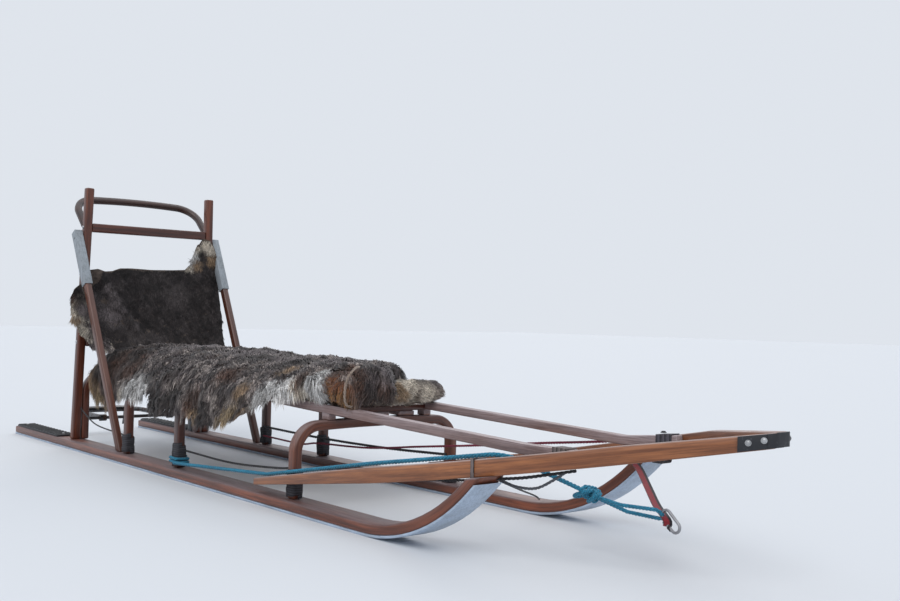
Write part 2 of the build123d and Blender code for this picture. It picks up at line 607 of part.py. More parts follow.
def tip_x(lifted):
    """Where the underside of the runner's wood meets the arm."""
    (x0, z0), (x1, z1) = under_arm(lifted)[1:3]
    x = x0
    for _ in range(5):
        height = z0 + (x - x0) * (z1 - z0) / (x1 - x0)
        x = RISE_X + math.sqrt((RISE_R - BASE_T) ** 2 - (RISE_R - height) ** 2)
    return x


for side, lifted in SIDES:
    rail_wide = rail_bar(RAIL_W + 2 * BAND_T, RAIL_H + 2 * BAND_T, lifted)
    rail_wide = rail_wide & slab(END_BAND_X, END_BAND_X + END_BAND_L, 0, ARCH_HALF, 0, NOSE_X)
    end_band = rail_wide - arm[side] - rail[side]
    tip_band = arm_band(tip_x(lifted) - TIP_BACK, TIP_BAND_L, lifted) - arm[side] - runner[side]
    tapes = [end_band, tip_band]
    if side == "right":
        tapes = [mirror_y(t) for t in tapes]
    save(Compound(children=tapes), "arm_tape_" + side)

# towing gear
# bridle: from the foot of the middle arch up over the right arm, then inside it down to a knot
knot = KNOT_AT
rope_y = -(ARCH_HALF + ROPE_OUT)
bridle = tube_on([(ARCH_MIDDLE_X + 10, rope_y, ROPE_FOOT_Z), (ARCH_FRONT_X - 92, rope_y - 5, 81.0),
                  (ARCH_FRONT_X, rope_y - 0.5, 97.5), (735.0, -(ARM[1]["y"] - 7), 159.0),
                  (1105.0, -(HALF_GAUGE - 39), 219.0), knot], ROPE_R, [60, 60, 60, 60])
knot_solid = Pos(*knot) * Sphere(KNOT_R)
save(knot_solid, "bridle_knot")
save(bridle - knot_solid, "bridle_rope")
loop_x = LINK_X - LINK_L / 2 + LINK_T + LOOP_R + LINK_SLACK
loop = tube_on([(knot[0] + 12, -LOOP_Y, knot[2]), (TOW_X - 80, -LOOP_Y, TOW_Z), (loop_x, -LOOP_Y, TOW_Z),
                (loop_x, LOOP_Y, TOW_Z), (TOW_X - 80, LOOP_Y, TOW_Z), (knot[0] + 12, LOOP_Y, knot[2])],
               LOOP_R, [60, LOOP_Y - 0.1, LOOP_Y - 0.1, 60])
save(loop - knot_solid, "bridle_loop")

# steel link that closes the bridle
ring_face = SlotOverall(LINK_L, LINK_H) - SlotOverall(LINK_L - 2 * LINK_T, LINK_H - 2 * LINK_T)
ring = Pos(LINK_X, 0, TOW_Z) * Rot(90, 0, 0) * extrude(ring_face, LINK_T / 2, both=True)
save(ring, "tow_link")

# webbing strap from a turn round the left arm down to the link
strap_x = tip_x(1) + STRAP_CLEAR
turn = arm_band(strap_x, STRAP_W, 1) - arm["left"]
arm_slope = (ARM[3]["z"] - ARM[2]["z"]) / (ARM[3]["x"] - ARM[2]["x"])
strap_z = under_arm(1)[1][1] + (strap_x - ARM[2]["x"]) * arm_slope
strap = bar((LINK_X - 8, LINK_T / 2 + STRAP_T, TOW_Z + 6),
            (strap_x + STRAP_W / 2, HALF_GAUGE - STRAP_IN, strap_z), STRAP_T, STRAP_W)
strap = strap - ring - arm["left"]
strap = turn + max(strap.solids(), key=lambda s: s.volume)
save(strap, "tow_strap")

print("built")
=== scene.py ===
import bpy
import math
import numpy as np
from mathutils import Matrix, Vector
from mathutils.kdtree import KDTree


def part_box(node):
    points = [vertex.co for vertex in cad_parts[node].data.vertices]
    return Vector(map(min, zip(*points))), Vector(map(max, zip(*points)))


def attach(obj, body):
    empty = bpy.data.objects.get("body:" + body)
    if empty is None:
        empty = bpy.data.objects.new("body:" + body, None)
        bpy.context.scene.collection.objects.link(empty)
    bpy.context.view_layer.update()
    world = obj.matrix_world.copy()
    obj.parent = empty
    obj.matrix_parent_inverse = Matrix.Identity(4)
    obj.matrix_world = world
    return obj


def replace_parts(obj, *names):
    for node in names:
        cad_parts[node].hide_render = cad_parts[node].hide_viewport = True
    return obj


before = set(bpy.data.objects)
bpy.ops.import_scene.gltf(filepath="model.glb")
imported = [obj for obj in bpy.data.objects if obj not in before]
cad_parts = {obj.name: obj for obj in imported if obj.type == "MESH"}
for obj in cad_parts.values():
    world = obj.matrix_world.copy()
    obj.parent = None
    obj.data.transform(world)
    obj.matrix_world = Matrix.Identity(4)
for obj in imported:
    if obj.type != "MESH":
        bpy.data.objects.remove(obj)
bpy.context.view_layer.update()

scene = bpy.context.scene


# Runners: each is one strip of laminated ash, bent up at the front and planed. The faces
# that look up have gone grey with weather and are paler still as a painted highlight from the sky; the sides
# keep their orange-brown lacquer.
RUNNER_EDGE = 0.004
RISE_FROM, RISE_RADIUS = 0.722, 0.529     # where the strip leaves the ground, and its bend


class Web:
    """Short ways to add shader nodes to one tree and join them."""

    def __init__(self, tree):
        self.add, self.link = tree.nodes.new, tree.links.new

    def feed(self, value, socket):
        """Join a socket to another one, or set its value; a colour is given without alpha."""
        if isinstance(value, bpy.types.NodeSocket):
            self.link(value, socket)
        elif socket.type == "RGBA":
            socket.default_value = (*value, 1)
        else:
            socket.default_value = value

    def node(self, kind, given, result):
        """Add a node, feed its inputs by name and give one of its outputs."""
        node = self.add(kind)
        for label, value in given.items():
            self.feed(value, node.inputs[label])
        return node.outputs[result]

    def math(self, kind, a, b=0.0):
        node = self.add("ShaderNodeMath")
        node.operation = kind
        self.feed(a, node.inputs[0])
        self.feed(b, node.inputs[1])
        return node.outputs[0]

    def length(self, a, b):
        """Distance that two measures at a right angle make."""
        squares = self.math("ADD", self.math("MULTIPLY", a, a), self.math("MULTIPLY", b, b))
        return self.math("SQRT", squares)

    def noise(self, vector, scale, detail=3.0, rough=0.5, distortion=0.0):
        return self.node("ShaderNodeTexNoise", {"Vector": vector, "Scale": scale, "Detail": detail,
                                                "Roughness": rough, "Distortion": distortion}, "Fac")

    def stretch(self, vector, scale=(1, 1, 1), turn=(0, 0, 0), move=(0, 0, 0)):
        return self.node("ShaderNodeMapping", {"Vector": vector, "Scale": scale, "Rotation": turn,
                                               "Location": move}, "Vector")

    def fade(self, value, low, high, out_low=0.0, out_high=1.0):
        return self.node("ShaderNodeMapRange", {"Value": value, "From Min": low, "From Max": high,
                                                "To Min": out_low, "To Max": out_high}, "Result")

    def blend(self, amount, a, b, kind="MIX"):
        node = self.add("ShaderNodeMix")
        node.data_type = "RGBA"
        node.blend_type = kind
        for label, value in (("Factor", amount), ("A", a), ("B", b)):
            self.feed(value, node.inputs[label])
        return node.outputs["Result"]

    def darken(self, amount, tone, mask, low, high=(1.0, 1.0, 1.0)):
        """Multiply a tone by one of two colours, as a mask says."""
        return self.blend(amount, tone, self.blend(mask, low, high), "MULTIPLY")

    def bump(self, height, distance, strength):
        return self.node("ShaderNodeBump", {"Height": height, "Distance": distance, "Strength": strength},
                         "Normal")

    def place(self):
        return self.add("ShaderNodeTexCoord").outputs["Object"]

    def split(self, vector):
        node = self.add("ShaderNodeSeparateXYZ")
        self.link(vector, node.inputs["Vector"])
        return [node.outputs[k] for k in "XYZ"]

    def join(self, x, y, z):
        return self.node("ShaderNodeCombineXYZ", {"X": x, "Y": y, "Z": z}, "Vector")

    def group(self, tree, **given):
        """Place a shader group, feed its inputs by name and give its outputs."""
        node = self.add("ShaderNodeGroup")
        node.node_tree = tree
        for label, value in given.items():
            self.feed(value, node.inputs[label])
        return node.outputs

    def dress(self, shader, looks, distance=0.0, strength=0.0):
        """Join a group's outputs to the shader, its height through a bump."""
        for label in looks.keys():
            if label == "Height":
                self.link(self.bump(looks[label], distance, strength), shader.inputs["Normal"])
            else:
                self.link(looks[label], shader.inputs["Base Color" if label == "Color" else label])


def node_group(name, inputs, outputs):
    """Empty shader group; its sockets are given as name and kind."""
    tree = bpy.data.node_groups.new(name, "ShaderNodeTree")
    for way, sockets in (("INPUT", inputs), ("OUTPUT", outputs)):
        for label, kind in sockets.items():
            tree.interface.new_socket(label, in_out=way, socket_type="NodeSocket" + kind)
    given = tree.nodes.new("NodeGroupInput").outputs
    out = tree.nodes.new("NodeGroupOutput").inputs
    return tree, Web(tree), given, out


def grain_group():
    """Grain along X with pores and glue lines, and grey on the faces that look up: weathering, with a painted
    highlight from the sky.
    """
    tree, web, given, out = node_group(
        "ash_grain",
        dict(Vector="Vector", Dark="Color", Light="Color", Grey="Color", Wear="Float", Reach="Float",
             Ply="Float", Glue="Float"),
        dict(Color="Color", Roughness="Float", Height="Float"))
    vector, dark = given["Vector"], given["Dark"]
    broad = web.noise(web.stretch(vector, (2.2, 42.0, 42.0)), 1.0, 6.0, 0.62, 0.7)
    pores = web.noise(web.stretch(vector, (9.0, 320.0, 320.0)), 1.0, 4.0, 0.7)
    patches = web.noise(web.stretch(vector, (1.6, 6.0, 6.0)), 2.2, 5.0, 0.65)
    tone = web.blend(web.fade(broad, 0.33, 0.67), dark, given["Light"])
    tone = web.darken(0.75, tone, web.fade(pores, 0.38, 0.56), (0.45, 0.40, 0.38))
    # glue lines between the plies
    across = web.math("FRACT", web.math("DIVIDE", web.split(vector)[2], given["Ply"]))
    glue = web.math("MULTIPLY", web.fade(across, 0.10, 0.02), given["Glue"])
    tone = web.blend(glue, tone, web.blend(0.6, dark, (0.02, 0.01, 0.008)))
    # handling darkens some stretches; what looks up is greyed by weather and made paler by a painted
    # highlight from the sky
    stain = web.fade(web.noise(vector, 3.1, 4.0, 0.6), 0.45, 0.72)
    tone = web.blend(web.math("MULTIPLY", stain, 0.45), tone, dark)
    looks_up = web.split(web.add("ShaderNodeNewGeometry").outputs["Normal"])[2]
    upper = web.fade(web.math("ADD", looks_up, given["Reach"]), 0.05, 0.75)
    worn = web.math("MULTIPLY", upper, web.fade(patches, 0.33, 0.55, 0.40, 1.0))
    worn = web.math("MULTIPLY", worn, given["Wear"])
    bleached_and_sky_lit = web.darken(0.85, given["Grey"], web.fade(pores, 0.36, 0.60), (0.50, 0.45, 0.44))
    web.link(web.blend(worn, tone, bleached_and_sky_lit), out["Color"])
    web.link(web.fade(worn, 0.0, 1.0, 0.34, 0.80), out["Roughness"])
    web.link(web.math("ADD", pores, web.math("MULTIPLY", glue, -1.0)), out["Height"])
    return tree


GRAIN = grain_group()


def new_material(name, colour, roughness, **sockets):
    """Material with its Principled shader; further sockets are set by name."""
    material = bpy.data.materials.new(name)
    material.use_nodes = True
    shader = material.node_tree.nodes["Principled BSDF"]
    shader.inputs["Base Color"].default_value = (*colour, 1)
    shader.inputs["Roughness"].default_value = roughness
    for label, value in sockets.items():
        shader.inputs[label.replace("_", " ")].default_value = value
    return material, Web(material.node_tree), shader


def wood(name, dark, light, wear_and_sky_light, grey=(0.30, 0.25, 0.235), reach=0.0, shift=0.0, ply=0.009, glue=0.0,
         turn=(0, 0, 0), bend=None):
    """Lacquered ash; turn brings its length to X, or bend gives places along a bent piece."""
    material, web, shader = new_material(name, light, 0.45, Coat_Weight=0.10, Coat_Roughness=0.3)
    place = bend(web) if bend else web.place()
    vector = web.stretch(place, turn=turn, move=(shift, shift * 0.7, shift * 0.3))
    # how far the faces that look up go pale grey is weathering together with a painted highlight from the sky
    looks = web.group(GRAIN, Vector=vector, Dark=dark, Light=light, Grey=grey, Wear=wear_and_sky_light, Reach=reach,
                      Ply=ply, Glue=glue)
    web.dress(shader, looks, 0.0006, 0.4)
    return material


def take(piece):
    """Make one object the only selected and active one."""
    bpy.ops.object.select_all(action="DESELECT")
    piece.select_set(True)
    bpy.context.view_layer.objects.active = piece


def finish(piece, modifier):
    """Apply one modifier."""
    take(piece)
    bpy.ops.object.modifier_apply(modifier=modifier)


def give(piece, material, body="sled"):
    """Put a finish on a piece and fix the piece to a body."""
    piece.data.materials.clear()
    piece.data.materials.append(material)
    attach(piece, body)
    return piece


def eased(node, edge, material, body="sled", segments=2):
    """The node's own form with its edges rounded over, as plane and sandpaper leave them."""
    source = bpy.data.objects[node]
    piece = source.copy()
    piece.data = source.data.copy()
    piece.name = node + "_eased"
    for key in [k for k in piece.keys() if k.startswith("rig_")]:
        del piece[key]
    scene.collection.objects.link(piece)
    piece.parent = None
    take(piece)
    bpy.ops.object.mode_set(mode="EDIT")
    bpy.ops.mesh.select_all(action="SELECT")
    bpy.ops.mesh.remove_doubles(threshold=0.00002)
    bpy.ops.mesh.dissolve_limited(angle_limit=math.radians(0.6))
    bpy.ops.object.mode_set(mode="OBJECT")
    bevel = piece.modifiers.new("edge", "BEVEL")
    bevel.width = edge
    bevel.segments = segments
    bevel.limit_method = "ANGLE"
    bevel.angle_limit = math.radians(35)
    finish(piece, "edge")
    bpy.ops.object.shade_smooth_by_angle(angle=math.radians(40))
    give(piece, material, body)
    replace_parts(piece, node)
    return piece


def along_runner(web):
    """Place along the strip and height in it, round the turned-up front too."""
    x, y, z = web.split(web.place())
    over = web.math("MAXIMUM", web.math("SUBTRACT", x, RISE_FROM), 0.0)
    drop = web.math("SUBTRACT", RISE_RADIUS, z)
    arc = web.math("MULTIPLY", web.math("ARCTAN2", over, drop), RISE_RADIUS)
    along = web.math("ADD", web.math("MINIMUM", x, RISE_FROM), arc)
    return web.join(along, y, web.math("SUBTRACT", RISE_RADIUS, web.length(over, drop)))


ASH_ALONG = wood("ash_along_sled", dark=(0.085, 0.021, 0.009), light=(0.30, 0.080, 0.031), wear_and_sky_light=0.85,
                 grey=(0.200, 0.165, 0.175), glue=0.45, bend=along_runner)
for side in ("left", "right"):
    eased("runner_" + side, RUNNER_EDGE, ASH_ALONG)


# Glide strips: white low-friction plastic screwed under each runner. Ice has scratched it
# along its length and grime sits in the scratches.
GLIDE_EDGE = 0.0015


def scratches_group():
    """Fine scratches one way and a little grime."""
    tree, web, given, out = node_group(
        "scratches", dict(Vector="Vector", Grain="Vector", Colour="Color", Scratched="Color", Rough="Float"),
        dict(Color="Color", Roughness="Float", Height="Float"))
    lines = web.noise(web.stretch(given["Vector"], given["Grain"]), 3.0, 6.0, 0.65)
    dirt = web.noise(given["Vector"], 14.0, 5.0, 0.6)
    tone = web.blend(web.fade(lines, 0.30, 0.55), given["Scratched"], given["Colour"])
    web.link(web.darken(0.55, tone, web.fade(dirt, 0.36, 0.62), (0.55, 0.53, 0.50)), out["Color"])
    rougher = web.math("ADD", given["Rough"], 0.2)
    web.link(web.fade(lines, 0.3, 0.6, rougher, given["Rough"]), out["Roughness"])
    web.link(lines, out["Height"])
    return tree


SCRATCHES = scratches_group()


def worn_plastic(name, colour, scratched, roughness, grain):
    """Pale plastic; grain sets how long and how close its scratches lie."""
    material, web, shader = new_material(name, colour, roughness)
    looks = web.group(SCRATCHES, Vector=web.place(), Grain=grain, Colour=colour, Scratched=scratched,
                      Rough=roughness)
    web.dress(shader, looks, 0.0005, 0.3)
    return material


# the white plastic is given a darker blue-grey colour: painted shade, blue with the light off the snow
GLIDE = worn_plastic("glide_plastic", (0.45, 0.545, 0.68), (0.31, 0.385, 0.49), roughness=0.42,
                     grain=(2.0, 90.0, 90.0))
for side in ("left", "right"):
    eased("runner_base_" + side, GLIDE_EDGE, GLIDE)


# Footboards: ribbed black rubber screwed to the runner tails, grey where boots rub the ribs.
# A screw with a washer holds each end.
BOARD_EDGE = 0.0012
BOARD_Y, FROM_END, SUNK = 0.25, 0.020, 0.003     # the screws: across, in from the ends, below the ribs
SCREW = 0.005                                    # radius of its head
SIDES = (("left", 1), ("right", -1))             # and the sign of y there


def scuffs_group():
    """Pale scuffs where the surface stands proud; scale sets how fine they are."""
    tree, web, given, out = node_group(
        "scuffs", dict(Vector="Vector", Colour="Color", Scuff="Color", Scale="Float"),
        dict(Color="Color", Roughness="Float", Height="Float"))
    rough = web.noise(given["Vector"], given["Scale"], 8.0, 0.72)
    broad = web.noise(given["Vector"], 9.0, 3.0)
    worn = web.math("MULTIPLY", web.fade(rough, 0.60, 0.70), web.fade(broad, 0.35, 0.6, 0.25, 1.0))
    web.link(web.blend(worn, given["Colour"], given["Scuff"]), out["Color"])
    web.link(web.fade(worn, 0.0, 1.0, 0.55, 0.85), out["Roughness"])
    web.link(rough, out["Height"])
    return tree


SCUFFS = scuffs_group()


def rubber(name, colour, scuff, scale):
    """Dull rubber with pale scuffs."""
    material, web, shader = new_material(name, colour, 0.62)
    looks = web.group(SCUFFS, Vector=web.place(), Colour=colour, Scuff=scuff, Scale=scale)
    web.dress(shader, looks, 0.0008, 0.4)
    return material


def rust_group():
    """Dulled steel with rust spots that take its shine."""
    tree, web, given, out = node_group(
        "rust_spots", dict(Vector="Vector", Colour="Color", Dull="Color", Rust="Color", Amount="Float"),
        dict(Color="Color", Roughness="Float", Metallic="Float"))
    spots = web.fade(web.noise(given["Vector"], 60.0, 8.0, 0.66), given["Amount"],
                     web.math("ADD", given["Amount"], 0.12))
    cloudy = web.fade(web.noise(given["Vector"], 17.0, 4.0), 0.35, 0.65)
    web.link(web.blend(spots, web.blend(cloudy, given["Dull"], given["Colour"]), given["Rust"]), out["Color"])
    web.link(web.fade(spots, 0.0, 1.0, 0.34, 0.85), out["Roughness"])
    web.link(web.fade(spots, 0.0, 1.0, 0.92, 0.10), out["Metallic"])
    return tree


RUST = rust_group()


def dull_steel(name, colour, amount, rust=(0.13, 0.055, 0.028)):
    """Bare steel; the spots of rust are fewer as amount grows."""
    material, web, shader = new_material(name, colour, 0.42, Metallic=0.85)
    dull = tuple(c * 0.7 for c in colour)
    web.dress(shader, web.group(RUST, Vector=web.place(), Colour=colour, Dull=dull, Rust=rust, Amount=amount))
    return material


BRIGHT_STEEL = dull_steel("bright_steel", (0.55, 0.55, 0.56), amount=0.66)


def dome_screw(name, at, toward, radius, material=BRIGHT_STEEL):
    """Round-headed screw on its washer; at lies on the surface, toward points out of it."""
    head_depth, head_middle, head_round = radius * 0.7, radius * 0.45, radius * 0.45
    washer_radius, washer_thick = radius * 1.35, radius * 0.22
    bpy.ops.object.select_all(action="DESELECT")
    bpy.ops.mesh.primitive_cylinder_add(vertices=20, radius=radius, depth=head_depth,
                                        location=(0, 0, head_middle))
    piece = bpy.context.object
    piece.name = name
    bpy.ops.object.mode_set(mode="EDIT")
    bpy.ops.mesh.select_all(action="DESELECT")
    bpy.ops.object.mode_set(mode="OBJECT")
    for face in piece.data.polygons:
        face.select = face.normal.z > 0.9 and len(face.vertices) > 4
    bpy.ops.object.mode_set(mode="EDIT")
    bpy.ops.mesh.bevel(offset=head_round, segments=4, affect="EDGES")
    bpy.ops.object.mode_set(mode="OBJECT")
    bpy.ops.object.select_all(action="DESELECT")
    bpy.ops.mesh.primitive_cylinder_add(vertices=24, radius=washer_radius, depth=washer_thick,
                                        location=(0, 0, washer_thick / 2))
    piece.select_set(True)
    bpy.context.view_layer.objects.active = piece
    bpy.ops.object.join()
    turn = Vector(toward).to_track_quat("Z", "Y").to_matrix().to_4x4()
    piece.data.transform(Matrix.Translation(at) @ turn @ piece.matrix_world)
    piece.matrix_world = Matrix.Identity(4)
    take(piece)
    bpy.ops.object.shade_smooth_by_angle(angle=math.radians(35))
    return give(piece, material)


RUBBER = rubber("footboard_rubber", (0.020, 0.020, 0.023), scuff=(0.15, 0.15, 0.16), scale=90.0)
for side, sign in SIDES:
    eased("footboard_" + side, BOARD_EDGE, RUBBER)
    low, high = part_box("footboard_" + side)
    for k, x in enumerate((low[0] + FROM_END, high[0] - FROM_END)):
        dome_screw(f"footboard_screw_{side}_{k}", (x, sign * BOARD_Y, high[2] - SUNK), (0, 0, 1), SCREW)


# Arches: ash strips steamed and bent, four of them, standing on the runners. The feet of the
# front three are bound with turns of black cloth tape.
ARCH_EDGE = 0.005
ARCH_OUT, ARCH_CROWN, ARCH_BEND = 0.264, 0.235, 0.077     # half width, height, radius of the bends


def along_arch(web):
    """Place round the arch and depth from its outer side, past both bends."""
    x, y, z = web.split(web.place())
    side = web.math("SUBTRACT", web.math("ABSOLUTE", y), ARCH_OUT - ARCH_BEND)
    high = web.math("SUBTRACT", z, ARCH_CROWN - ARCH_BEND)
    depth = web.length(web.math("MAXIMUM", side, 0.0), web.math("MAXIMUM", high, 0.0))
    return web.join(web.math("SUBTRACT", y, z), x, depth)


ASH_ARCH = wood("ash_bent", dark=(0.070, 0.019, 0.011), light=(0.235, 0.072, 0.032), wear_and_sky_light=0.8,
                grey=(0.32, 0.25, 0.245), shift=1.7, bend=along_arch)
ASH_SHADED = wood("ash_bent_dark", dark=(0.050, 0.014, 0.010), light=(0.155, 0.047, 0.025), wear_and_sky_light=0.15,
                  shift=2.9, bend=along_arch)
for name, ash in (("front", ASH_ARCH), ("middle", ASH_SHADED), ("seat", ASH_SHADED), ("rear", ASH_SHADED)):
    eased("arch_" + name, ARCH_EDGE, ash, segments=3)


def turns_group():
    """Turns of tape, each with a frayed edge over the next, pale there as painted highlight and dark under it
    as painted shade; along counts the turns.
    """
    tree, web, given, out = node_group(
        "tape_turns", dict(Vector="Vector", Along="Float", Dark="Color", Pale="Color"),
        dict(Color="Color", Height="Float"))
    wander = web.math("MULTIPLY", web.noise(given["Vector"], 30.0, 3.0), 0.8)
    step = web.math("FRACT", web.math("ADD", given["Along"], wander))
    fray = web.noise(given["Vector"], 180.0, 6.0, 0.7)
    height = web.math("MULTIPLY", web.math("ADD", step, fray), 0.5)
    # low in each turn, under the next one's edge, the tape is painted dark as painted shade; on the raised
    # edge it is painted pale as painted highlight
    web.link(web.blend(web.fade(height, 0.3, 0.62), given["Dark"], given["Pale"]), out["Color"])
    web.link(height, out["Height"])
    return tree


TAPE_TURNS = turns_group()


def wound_tape(name, colour, pitch, axis):
    """Cloth tape whose turns lie across the piece; axis 0 is along the sled, 2 is up."""
    material, web, shader = new_material(name, colour, 0.80)
    place = web.place()
    along = web.math("DIVIDE", web.split(place)[axis], pitch)
    dark, pale = (tuple(c * share for c in colour) for share in (0.4, 1.8))
    web.dress(shader, web.group(TAPE_TURNS, Vector=place, Along=along, Dark=dark, Pale=pale), 0.0012, 0.8)
    return material


TAPE_UP = wound_tape("tape_on_legs", (0.026, 0.025, 0.030), pitch=0.006, axis=2)
LEG_WRAPS = [  # middle of the leg along the sled, top of the tape on the left and on the right
    dict(x=0.392, left=0.050, right=0.104), dict(x=-0.246, left=0.100, right=0.103),
    dict(x=-0.608, left=0.092, right=0.092),
]
LEG_Y, LEG_FOOT = 0.252, 0.031              # middle of a leg across the sled, and where its tape starts
LEG_HALF_X, LEG_HALF_Y = 0.0150, 0.0120     # half its section
TAPE_STEP, TAPE_END = 0.011, 0.007          # height of one turn, and how far the ends stay inside
TAPE_THICK, TAPE_WIDE = 0.0018, 0.0085      # half the tape's section
SLANTS = (-0.004, 0.004)                    # least and most that a turn slants up round the leg
SWELLS = (0.001, 0.004)                     # least and most that a turn stands off the leg
CORNER = 0.4                                # makes the turns square, as the leg is


def closed_tube(name, rings, material):
    """Closed mesh over rings of points, its ends capped."""
    count, around = rings.shape[:2]
    faces = []
    for cell in range((count - 1) * around):
        ring, c, after = cell // around * around, cell % around, (cell + 1) % around
        faces.append((ring + c, ring + after, ring + around + after, ring + around + c))
    faces += [tuple(range(around)), tuple((count - 1) * around + c for c in range(around))]
    mesh = bpy.data.meshes.new(name)
    mesh.from_pydata(rings.reshape(-1, 3).tolist(), [], faces)
    piece = bpy.data.objects.new(name, mesh)
    scene.collection.objects.link(piece)
    take(piece)
    bpy.ops.object.mode_set(mode="EDIT")
    bpy.ops.mesh.select_all(action="SELECT")
    bpy.ops.mesh.normals_make_consistent(inside=False)
    bpy.ops.object.mode_set(mode="OBJECT")
    bpy.ops.object.shade_smooth_by_angle(angle=math.radians(60))
    return give(piece, material)


def join(pieces, name):
    """Join pieces into the first one."""
    take(pieces[0])
    for piece in pieces[1:]:
        piece.select_set(True)
    bpy.ops.object.join()
    pieces[0].name = name
    return pieces[0]


def wound_leg(name, x, y, low, high, seed):
    """Tape wound up a leg in uneven, slanting turns."""
    rng = np.random.default_rng(seed)
    count = max(3, int((high - low) / TAPE_STEP))
    turn = np.linspace(0, 2 * math.pi * count, 30 * count)
    whole = np.arange(count + 1) * 2 * math.pi
    slant = np.interp(turn, whole, rng.uniform(*SLANTS, count + 1))
    swell = np.interp(turn, whole, rng.uniform(*SWELLS, count + 1))
    c, d = np.cos(turn), np.sin(turn)
    rise = np.interp(turn, (0, turn[-1]), (low + TAPE_END, high - TAPE_END))
    path = np.column_stack([x + (LEG_HALF_X + swell) * np.sign(c) * np.abs(c) ** CORNER,
                            y + (LEG_HALF_Y + swell) * np.sign(d) * np.abs(d) ** CORNER, rise + slant * c])
    outward = np.column_stack([c, d, np.zeros_like(c)])[:, None]
    around = np.linspace(0, 2 * math.pi, 8, endpoint=False)[None, :, None]
    section = TAPE_THICK * np.cos(around) * outward + TAPE_WIDE * np.sin(around) * np.array([0, 0, 1.0])
    return closed_tube(name, path[:, None] + section, TAPE_UP)


for side, sign in SIDES:
    turns = [wound_leg(f"leg_tape_{side}_{k}", wrap["x"], sign * LEG_Y, LEG_FOOT, wrap[side], 40 + k)
             for k, wrap in enumerate(LEG_WRAPS)]
    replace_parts(join(turns, "leg_tape_turns_" + side), "leg_tape_" + side)


# Bed: two long rails on grey blocks over the arches, with slats between them and a batten at
# the front. The rails are rounded poles, bleached on top and paler there as a painted highlight from the sky;
# round-headed screws hold them.
RAIL_EDGE, SLAT_EDGE, BLOCK_EDGE = 0.0068, 0.003, 0.002
RAIL_Y, RAIL_TOP = 0.155, 0.0365     # middle of a rail across the sled, and its top over the arch
ASH_RAIL = wood("ash_rail", dark=(0.090, 0.034, 0.023), light=(0.27, 0.125, 0.085), wear_and_sky_light=1.0,
                grey=(0.42, 0.35, 0.36), reach=0.45, shift=4.1)
for side in ("left", "right"):
    eased("side_rail_" + side, RAIL_EDGE, ASH_RAIL, segments=4)
eased("bed_slats", SLAT_EDGE, ASH_RAIL)
ACROSS = (0, 0, math.radians(90))
ASH_ACROSS = wood("ash_across", dark=(0.050, 0.014, 0.009), light=(0.135, 0.036, 0.019), wear_and_sky_light=0.30,
                  shift=2.3, turn=ACROSS)
eased("bed_batten", SLAT_EDGE, ASH_ACROSS)
eased("rail_blocks", BLOCK_EDGE, ASH_RAIL)
low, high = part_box("arch_front")
for side, sign in SIDES:
    head = ((low[0] + high[0]) / 2, sign * RAIL_Y, high[2] + RAIL_TOP)
    dome_screw("rail_screw_front_" + side, head, (0, 0, 1), radius=0.0045)


# Back frame: two uprights with braces down to the runners, and three crossbars, all of dark
# lacquered ash. Bolts go through the uprights into the crossbars' ends.
POST_EDGE = 0.005
POST_OUT, POST_LEAN = 0.264, 0.018     # outer face at the ground, and how far it leans in at the top
BOLT_PROUD = 0.0004                    # the bolts' washers lie this far off the uprights
ASH_UP = wood("ash_upright", dark=(0.060, 0.015, 0.009), light=(0.205, 0.056, 0.024), wear_and_sky_light=0.2, shift=0.9,
              turn=(0, math.radians(90), 0))
ASH_BRACE = wood("ash_brace", dark=(0.060, 0.018, 0.011), light=(0.165, 0.056, 0.030), wear_and_sky_light=0.2, shift=3.3,
                 turn=(0, math.radians(118), 0))
for part, ash in (("upright_", ASH_UP), ("brace_", ASH_BRACE)):
    for side in ("left", "right"):
        eased(part + side, POST_EDGE, ash, segments=3)
for name in ("upper", "middle", "lower"):
    eased("crossbar_" + name, POST_EDGE, ASH_ACROSS, segments=3)
    low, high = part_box("crossbar_" + name)
    height = (low[2] + high[2]) / 2
    for side, sign in SIDES:
        outer = POST_OUT - POST_LEAN * (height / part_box("upright_" + side)[1][2])
        head = ((low[0] + high[0]) / 2, sign * (outer + BOLT_PROUD), height)
        dome_screw(f"crossbar_bolt_{name}_{side}", head, (0, sign, 0), SCREW)


# Handle bow: one round-edged ash bow the driver holds, steamed and bent. Gloves have made it
# dark and smooth.
ASH_HANDLE = wood("ash_handle", dark=(0.020, 0.0075, 0.006), light=(0.062, 0.024, 0.016), wear_and_sky_light=0.08,
                  shift=5.2, turn=ACROSS)
eased("handle_bow", edge=0.0085, material=ASH_HANDLE, segments=4)


# Brace sleeves: thin white-grey plastic tubes pushed over the braces' upper ends, scuffed
# along their length, each with a hole for the bolt.
SLEEVE = worn_plastic("sleeve_plastic", (0.33, 0.365, 0.40), (0.21, 0.23, 0.25), roughness=0.5,
                      grain=(60.0, 60.0, 5.0))
for side in ("left", "right"):
    eased("brace_sleeve_" + side, edge=0.0015, material=SLEEVE)


# Nose bow: two laminated ash arms, lacquered orange, that meet under a black rubber pad with
# two bright bolts a side. Their glue lines run along the arms.
ARM_EDGE, PAD_EDGE, TAPE_EDGE = 0.005, 0.002, 0.001
ARM_LINE = [  # middle of an arm: along, across, height
    (0.272, 0.285, 0.061), (0.735, 0.273, 0.134), (0.920, 0.2585, 0.163), (1.092, 0.235, 0.192),
    (1.225, 0.195, 0.215), (1.345, 0.146, 0.238), (1.500, 0.062, 0.266), (1.660, -0.032, 0.2955),
]
CURVE_LIFT = 0.1     # a curve node holds no values under 0, so the line is lifted while it is read


